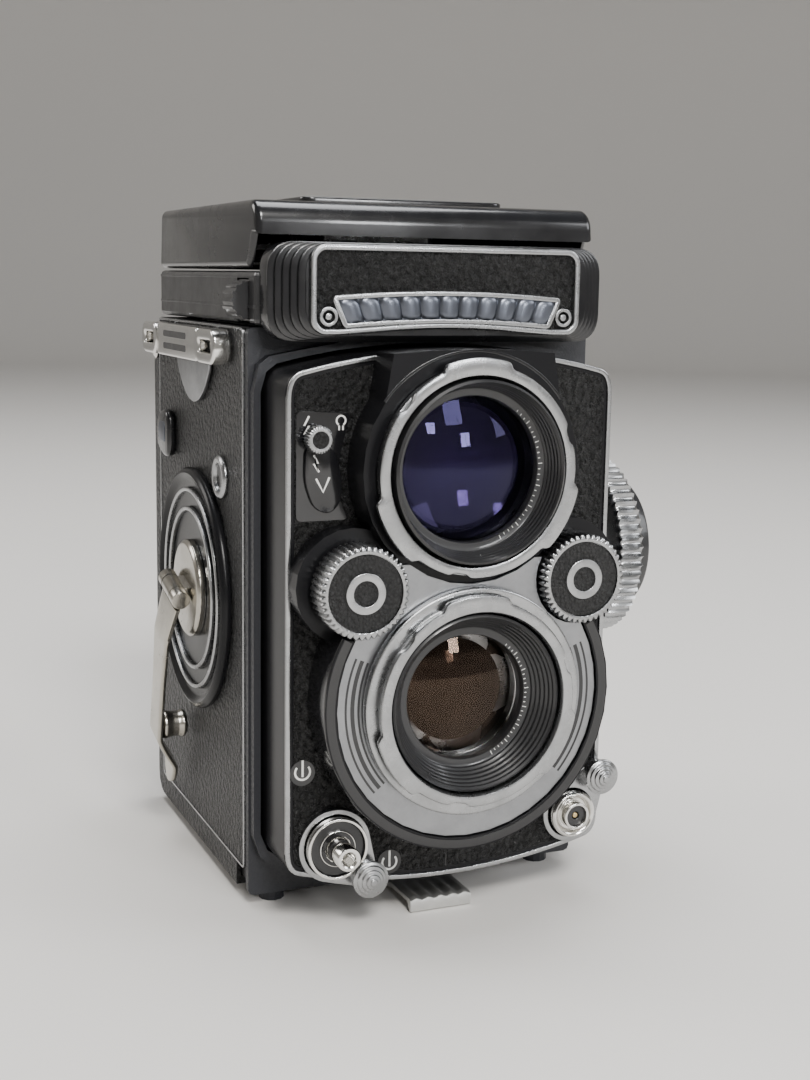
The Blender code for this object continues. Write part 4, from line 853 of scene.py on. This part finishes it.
def hood_base():
    """Two beads round the hood's foot and the grid ruled on the focusing screen."""
    beads = []
    for z in (125.4, 131.4):
        bead = soften([(0.12, z), (0.12, z + 0.5), (-0.3, z + 0.5), (-0.3, z)], 0.1)
        beads.append(band(box_outline((-38.25, -2.7), (38.25, 75.5), 1.2), bead, "z"))
    piece("hood_base_beads", beads, semi, "camera_body")
    low, high, half = 121.55, 121.68, 0.06
    lines = [block((x - half, 11, low), (x + half, 66, high), 0.02)
             for x in np.linspace(-20, 20, 5)]
    lines += [block((-28, y - half, low), (28, y + half, high), 0.02)
              for y in np.linspace(18, 58, 5)]
    piece("screen_lines", lines, black_fill, "camera_body")


def hood_lid():
    """The folding hood's lid: a side outline with a quarter ellipse at its front and a quarter
    circle at its rear, carried across and hollowed, with a raised square on its top."""
    quarter = np.radians(np.linspace(0, 90, 22))
    front = np.stack((-3.0 + 4.6 * (1 - np.cos(quarter)), 142.4 + 4.6 * np.sin(quarter)), -1)
    rear = np.stack((74.5 - 2.2 * (1 - np.sin(quarter)), 147 - 2.2 * (1 - np.cos(quarter))), -1)
    line = np.vstack(([(-3.0, 140.1)], front, rear, [(74.5, 133.3), (3.4, 133.3), (1.6, 135.4),
                                                     (-0.6, 140.1)]))
    lid = piece("hood_shell", slab(line, -LID_HALF, LID_HALF, "x", 1.5, 6), gloss, "hood_lid",
                ("hood_lid",), sharp=30)
    hollow = [(-1.5, 130), (-1.5, 143.0), (2.0, 145.5), (73.1, 145.5), (73.1, 130)]
    bore(lid, slab(hollow, LID_WALL - LID_HALF, LID_HALF - LID_WALL, "x", 0.3, 2))
    lip = soften([(1.1, 146.6), (1.1, 148.48), (-1.1, 148.48), (-1.1, 146.6)], 0.5, 4)
    piece("hood_frame", [band(box_outline((-22.4, 12.1), (22.4, 56.9), 1.4), lip, "z"),
                         slab(box_outline((-21.6, 12.9), (21.6, 56.1), 1.0), 146.5, 147.5, "z",
                              0.1)], gloss, "hood_lid")


def magnifier():
    """The glass folded under the lid, with both faces 1.2 (1 - (r/R)^2) high, and its mount."""
    frame = soften([(0.6, 139.6), (0.6, 145.2), (-0.6, 145.2), (-0.6, 139.6)], 0.2)
    piece("magnifier_mount", [band(box_outline((-13.5, 27.0), (13.5, 52.0), 2.0), frame, "z")],
          satin, "hood_lid")
    radius = 10.6
    r = np.linspace(0, radius, 20)
    bulge = 1.2 * (1 - (r / radius) ** 2)
    lens = np.vstack((np.stack((r, 143.6 + bulge), -1), np.stack((r, 141.6 - bulge), -1)[::-1]))
    piece("magnifier_glass", turned(lens, "z", MAGNIFIER, 64), violet, "hood_lid")
    piece("magnifier_ring", turned(ring(12.4, 10.4, 140.8, 144.4, 0.3), "z", MAGNIFIER, 72),
          semi, "hood_lid")


meter_ribs()
meter_face()
meter_domes()
meter_sockets()
hood_base()
hood_lid()
magnifier()


# ---- sides --------------------------------------------------------------------------------
def side_trims():
    """Thin bright lines round each leather panel."""
    for sign, name in ((-1, "side_trim_left"), (1, "side_trim_right")):
        x = sign * 39.3
        back, front = x - sign * 0.5, x + sign * 0.12
        path = box_outline((2.5, 5.8), (72.2, 121.2), 0.8)
        line = soften([(0.25, back), (0.25, front), (-0.25, front), (-0.25, back)], 0.1)
        piece(name, band(path, line, "x"), satin, "camera_body")


def dish():
    """The crank's dish: a rolled rim and raised satin rings on gloss black."""
    base = -39.55
    heights = [(3.6, 0), (27.6, 0), (27.8, .5), (27.75, 1.2), (27.3, 1.9), (26.5, 2.2), (25.7, 1.9),
               (25.1, 1.35), (24.4, 1.15), (12.2, .9), (3.6, .9)]
    piece("crank_dish", turned([(r, base - h) for r, h in heights], "x", CRANK, 160), dish_black,
          "camera_body", ("crank_plate",))
    rings = [turned(soften([(r + .5, base - .9), (r + .5, base - 2.0), (r - .5, base - 2.0),
                            (r - .5, base - .9)], 0.35, 4), "x", CRANK, 128)
             for r in (22.7, 18.3)]
    piece("crank_dish_rings", rings, satin, "camera_body")


def crank_parts():
    """The folded crank: a disc, a lever of changing section, a pivot and a turned grip. Down
    the lever, s from its pivot, the height is 2.2 ((s - 1)/11)^0.8 less 4.2 ((s - 38)/8)^1.2,
    each term held between its ends, and the tip's half width is 4.2 sqrt(1 - ((s - 46)/5.7)^2)."""
    hub = soften([(3.0, -40.6), (11.2, -40.6), (11.2, -41.9), (10.4, -42.5), (0, -42.75)], 0.3, 4,
                 False)
    piece("crank_disc", turned(np.vstack(((0, -40.6), hub)), "x", CRANK, 96), nickel, "crank")
    tilt = math.radians(15)
    along = np.array((0, math.cos(tilt), math.sin(tilt)))
    down = np.array((0, math.sin(tilt), -math.cos(tilt)))
    out = np.array((1, 0, 0))
    pivot = np.array((-45.0, *CRANK))
    s = np.linspace(2.6, 51.6, 70)
    rise = 2.2 * np.clip((s - 1) / 11, 0, 1) ** 0.8
    fall = np.where(s < 46, 4.2 * np.clip((s - 38) / 8, 0, None) ** 1.2, 4.2)
    width = 6.2 - 2.0 * np.clip((s - 3) / 20, 0, 1)
    width = np.where(s > 46, 4.2 * np.sqrt(np.clip(1 - ((s - 46) / 5.7) ** 2, 0.02, 1)), width)
    section = soften([(-1, -0.68), (1, -0.68), (1, 0.68), (-1, 0.68)], 0.3, 4)
    middle = pivot + down * s[:, None] - out * (rise - fall)[:, None]
    grid = (middle[:, None] + along * (section[:, 0] * width[:, None])[..., None]
            + out * section[:, 1][:, None])
    lever = [skin(grid, ends=("first", "last"))]
    for start, sense in ((3.5, 1), (-3.5, -1)):
        end = soften([(2.15, 0), (2.15, 3.0), (0, 3.0)], 0.25, 3, False)
        lever.append(rod(np.vstack(((0, 0), end)), pivot + along * start, along * sense))
    piece("crank_lever", lever, nickel, "crank_arm", ("crank_arm",))
    pin = soften([(2.15, 0), (2.15, 6.6), (0, 6.6)], 0.25, 3, False)
    piece("crank_knuckle", rod(np.vstack(((0, 0), pin)), pivot - along * 3.3, along), nickel,
          "crank")
    grip = soften([(1.6, -47.5), (1.6, -46.2), (3.2, -46.1), (3.45, -45.3), (3.0, -43.8),
                   (3.0, -42.2), (3.4, -41.0), (2.9, -40.3), (0, -40.2)], 0.4, 4, False)
    piece("crank_grip", turned(np.vstack(((0, -47.6), grip)), "x", CRANK_GRIP, 64), nickel,
          "crank_handle", ("crank_handle",))


def strap_bracket(sign, name, node_name):
    """A pressed bracket: two end loops with posts, a bright saddle, and a satin tongue."""
    body = "camera_body"
    near, far = sign * 39.6, sign * 43.6
    outer = far - sign * 0.3
    low, high = min(near, far), max(near, far)
    shapes = []
    for start, end in ((9.2, 24.0), (58.8, 72.8)):
        path = box_outline((start + 1.4, 114.6), (end - 1.4, 119.4), 1.6)
        loop = soften([(1.3, low), (1.3, high), (-1.1, high), (-1.1, low)], 0.6, 4)
        shapes.append(band(path, loop, "x"))
    shapes.append(slab(box_outline((23.2, 113.3), (59.4, 120.7), 1.6), min(near, outer),
                       max(near, outer), "x", 0.55, 5))
    piece(name, shapes, chrome, body, (node_name,))
    # painted shade: two black bars on the saddle stand in for the shade inside its slots
    proud = sign * 0.03
    floor = outer - sign * 0.5
    slot_shade_bars = [slab(box_outline((32.5, z), (52.5, z + 1.5), 0.5), min(outer, floor) + proud,
                  max(outer, floor) + 0.02 + proud, "x", 0.05, 1) for z in (114.9, 117.7)]
    piece(name + "_slots", slot_shade_bars, black_fill, body)
    post = np.array([(0, near), (1.9, near), (1.9, near + sign * 1.6), (1.3, near + sign * 2.4),
                     (0, near + sign * 2.6)])
    piece(name + "_posts", [turned(post, "x", (y, 117.0), 40) for y in (16.2, 66.0)], chrome,
          body)
    tongue = soften([(24.0, 113.9), (24.0, 111.5), (28.0, 107.0), (33.0, 104.2), (37.5, 103.5),
                     (42.0, 104.4), (47.0, 107.4), (51.0, 111.5), (51.0, 113.9)], 2.0, 5)
    face = near + sign * 0.85
    piece(name + "_tongue", slab(tongue, min(near, face), max(near, face), "x", 0.2), pearl, body)


def left_details():
    """The counter's raised window and a small turned socket on the crank's side."""
    body = "camera_body"
    bump = soften([(56.2, 89.6), (60.0, 88.4), (66.5, 90.5), (67.6, 94.5), (66.0, 99.0),
                   (59.5, 100.4), (56.4, 98.6)], 2.6, 6)
    piece("counter_window", slab(bump, -41.6, -39.3, "x", 1.0, 5), gloss, body)
    pane = soften([(58.8, 92.2), (64.8, 92.6), (64.4, 97.0), (59.0, 97.2)], 1.2)
    piece("counter_glass", slab(pane, -41.75, -41.4, "x", 0.12), cell_glass, body)
    rim = soften([(4.8, -39.3), (4.8, -39.9), (4.2, -40.4), (3.2, -40.3), (2.9, -39.5),
                  (2.9, -39.3)], 0.2)
    piece("side_socket", [turned(rim, "x", SIDE_SOCKET, 64)], satin, body)
    piece("side_socket_core", turned(plug(2.95, -39.3, -39.6), "x", SIDE_SOCKET, 48), semi, body)


def focusing():
    """The focusing wheel, cut in 60 flutes: radius = r - 0.95 share |sin 30w|^0.75, and the
    black dial on it with 24 white marks."""
    flute = lambda w: -0.95 * np.abs(np.sin(w * 30)) ** 0.75
    rim = [(4.9, 42.4, 0), (8.0, 42.4, 0), (8.0, 45.0, 0), (17.8, 45.0, 0), (19.5, 45.0, .5),
           (20.3, 45.3, 1), (20.5, 46.0, 1), (20.5, 50.1, 1), (20.2, 50.8, 1), (19.4, 51.0, .5),
           (17.8, 51.0, 0), (15.4, 51.0, 0), (4.9, 51.0, 0)]
    piece("focus_wheel", turned(rim, "x", FOCUS, 360, wave=flute), satin, "focus_drive",
          ("focus_knob",))
    dial = soften([(15.2, 50.9), (15.5, 52.4), (15.0, 55.4), (13.8, 55.85), (0, 55.88)], 0.5, 4,
                  False)
    piece("focus_dial", turned(np.vstack(((0, 50.9), dial)), "x", FOCUS, 96), semi,
          "focus_drive")
    marks = [tick(FOCUS, 10.6, k * 11.5, 1.2 if k % 3 else 2.2, 0.28, 55.84, 55.95, "x")
             for k in range(24)]
    piece("focus_scale", marks, white, "focus_drive")


def latch():
    """The latch tab: a strip bent along z(y) with ribs across it. With c the distance across as
    a share of 7.1, a rib's height is 0.28 cos(5 pi c) exp(-((y + 11.5)/5)^4)."""
    x = np.linspace(-7.6, 6.6, 41)
    y = np.array((-15.4, -15.2, -14.6, -13.5, -12, -10, -8, -6, -4.4, -2, 2, 8, 14.5))[:, None]
    z = np.array((-0.2, 0.5, 0.85, 0.9, 0.86, 0.8, 0.74, 0.66, 0.5, -0.1, -0.45, -0.45,
                  -0.45))[:, None]
    wave = 0.28 * np.cos(np.clip((x + 0.5) / 7.1, -1, 1) * np.pi * 5)
    rib = wave * np.exp(-((y + 11.5) / 5.0) ** 4)
    top = put(x, y, z + rib, "z")
    low = top.copy()
    low[..., 2] = np.maximum(np.where(y < -14.5, -2.0, z - 1.1), -2.05)
    piece("latch_tab", skin(np.vstack((top, low[::-1])), True, False, ("left", "right")),
          pearl_bright, "latch_lever", ("latch_lever",))



side_trims()
dish()
crank_parts()
strap_bracket(-1, "strap_bracket_left", "strap_lug_left")
strap_bracket(1, "strap_bracket_right", "strap_lug_right")
left_details()
focusing()
latch()


# ---- studio -------------------------------------------------------------------------------
def room():
    """A pale floor that curves up into a wall all round, by a quarter circle of 0.6 m, and a
    dim sky."""
    bend = np.linspace(0, np.pi / 2, 20)
    r = np.concatenate(([0.02, 0.5, 1.2], 2.0 + 0.6 * np.sin(bend), [2.6]))
    z = np.concatenate(([0, 0, 0], 0.6 * (1 - np.cos(bend)), [2.4]))
    angle = np.arange(96) * TURN / 96
    grid = put(r[:, None] * np.cos(angle), r[:, None] * np.sin(angle), z[:, None], "z")
    mesh = bpy.data.meshes.new("floor")
    points, faces = skin(grid, False, True, ("first",))
    mesh.from_pydata(points.tolist(), [], faces)
    mesh.shade_smooth()
    pale = finish("pale_paper", (0.72, 0.7, 0.67), 0.7)
    mesh.materials.append(pale)
    floor = bpy.data.objects.new("floor", mesh)
    bpy.context.scene.collection.objects.link(floor)
    floor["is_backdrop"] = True

    world = bpy.data.worlds.new("room")
    bpy.context.scene.world = world
    world.use_nodes = True
    world.node_tree.nodes["Background"].inputs["Color"].default_value = (0.8, 0.84, 0.9, 1)
    world.node_tree.nodes["Background"].inputs["Strength"].default_value = 0.16


def panel(name, at, size, power, colour):
    """A soft rectangular light that faces the middle of the object."""
    light = bpy.data.lights.new(name, "AREA")
    light.shape, light.size, light.size_y = "RECTANGLE", *size
    light.energy, light.color = power, colour
    obj = bpy.data.objects.new(name, light)
    bpy.context.scene.collection.objects.link(obj)
    obj.location = at
    toward = Vector((0, 0, 0.08)) - Vector(at)
    obj.rotation_euler = toward.to_track_quat("-Z", "Y").to_euler()


def view():
    """The camera: three quarters from the front and a little above, turned by a small roll."""
    camera = bpy.data.objects.new("camera", bpy.data.cameras.new("camera"))
    bpy.context.scene.collection.objects.link(camera)
    azimuth, elevation, roll = (math.radians(d) for d in (-22.91, 9.63, 0.90))
    ahead = Vector((-math.sin(azimuth) * math.cos(elevation),
                    math.cos(azimuth) * math.cos(elevation), -math.sin(elevation)))
    right = Vector((math.cos(azimuth), math.sin(azimuth), 0))
    up = right.cross(ahead)
    across = right * math.cos(roll) + up * math.sin(roll)
    above = -right * math.sin(roll) + up * math.cos(roll)
    at = (np.array((-131.55, -302.42, 131.86)) + CORNER) * MM
    camera.matrix_world = Matrix(((across.x, above.x, -ahead.x, at[0]),
                                  (across.y, above.y, -ahead.y, at[1]),
                                  (across.z, above.z, -ahead.z, at[2]), (0, 0, 0, 1)))
    camera.data.lens, camera.data.sensor_width = 51.47, 36
    camera.data.clip_start = 0.01
    bpy.context.scene.camera = camera


room()
panel("key", (-0.1, -0.95, 0.95), (0.34, 0.3), 15, (1, 0.98, 0.95))
panel("top", (0.1, 0.25, 1.3), (0.9, 0.7), 16, (0.97, 0.98, 1))
panel("fill", (0.9, -0.6, 0.6), (0.5, 0.5), 5, (0.95, 0.97, 1))
panel("side", (-0.9, 0.75, 0.75), (0.5, 0.5), 5, (1, 0.97, 0.94))
panel("pane", (-0.12, -0.95, 0.5), (0.1, 0.13), 1.6, (0.97, 0.98, 1))
panel("window", (0.28, -0.9, 0.34), (0.12, 0.16), 2.2, (0.97, 0.98, 1))
view()
low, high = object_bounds()
{"cad": [list(cad_low), list(cad_high)], "visual": [list(low), list(high)]}
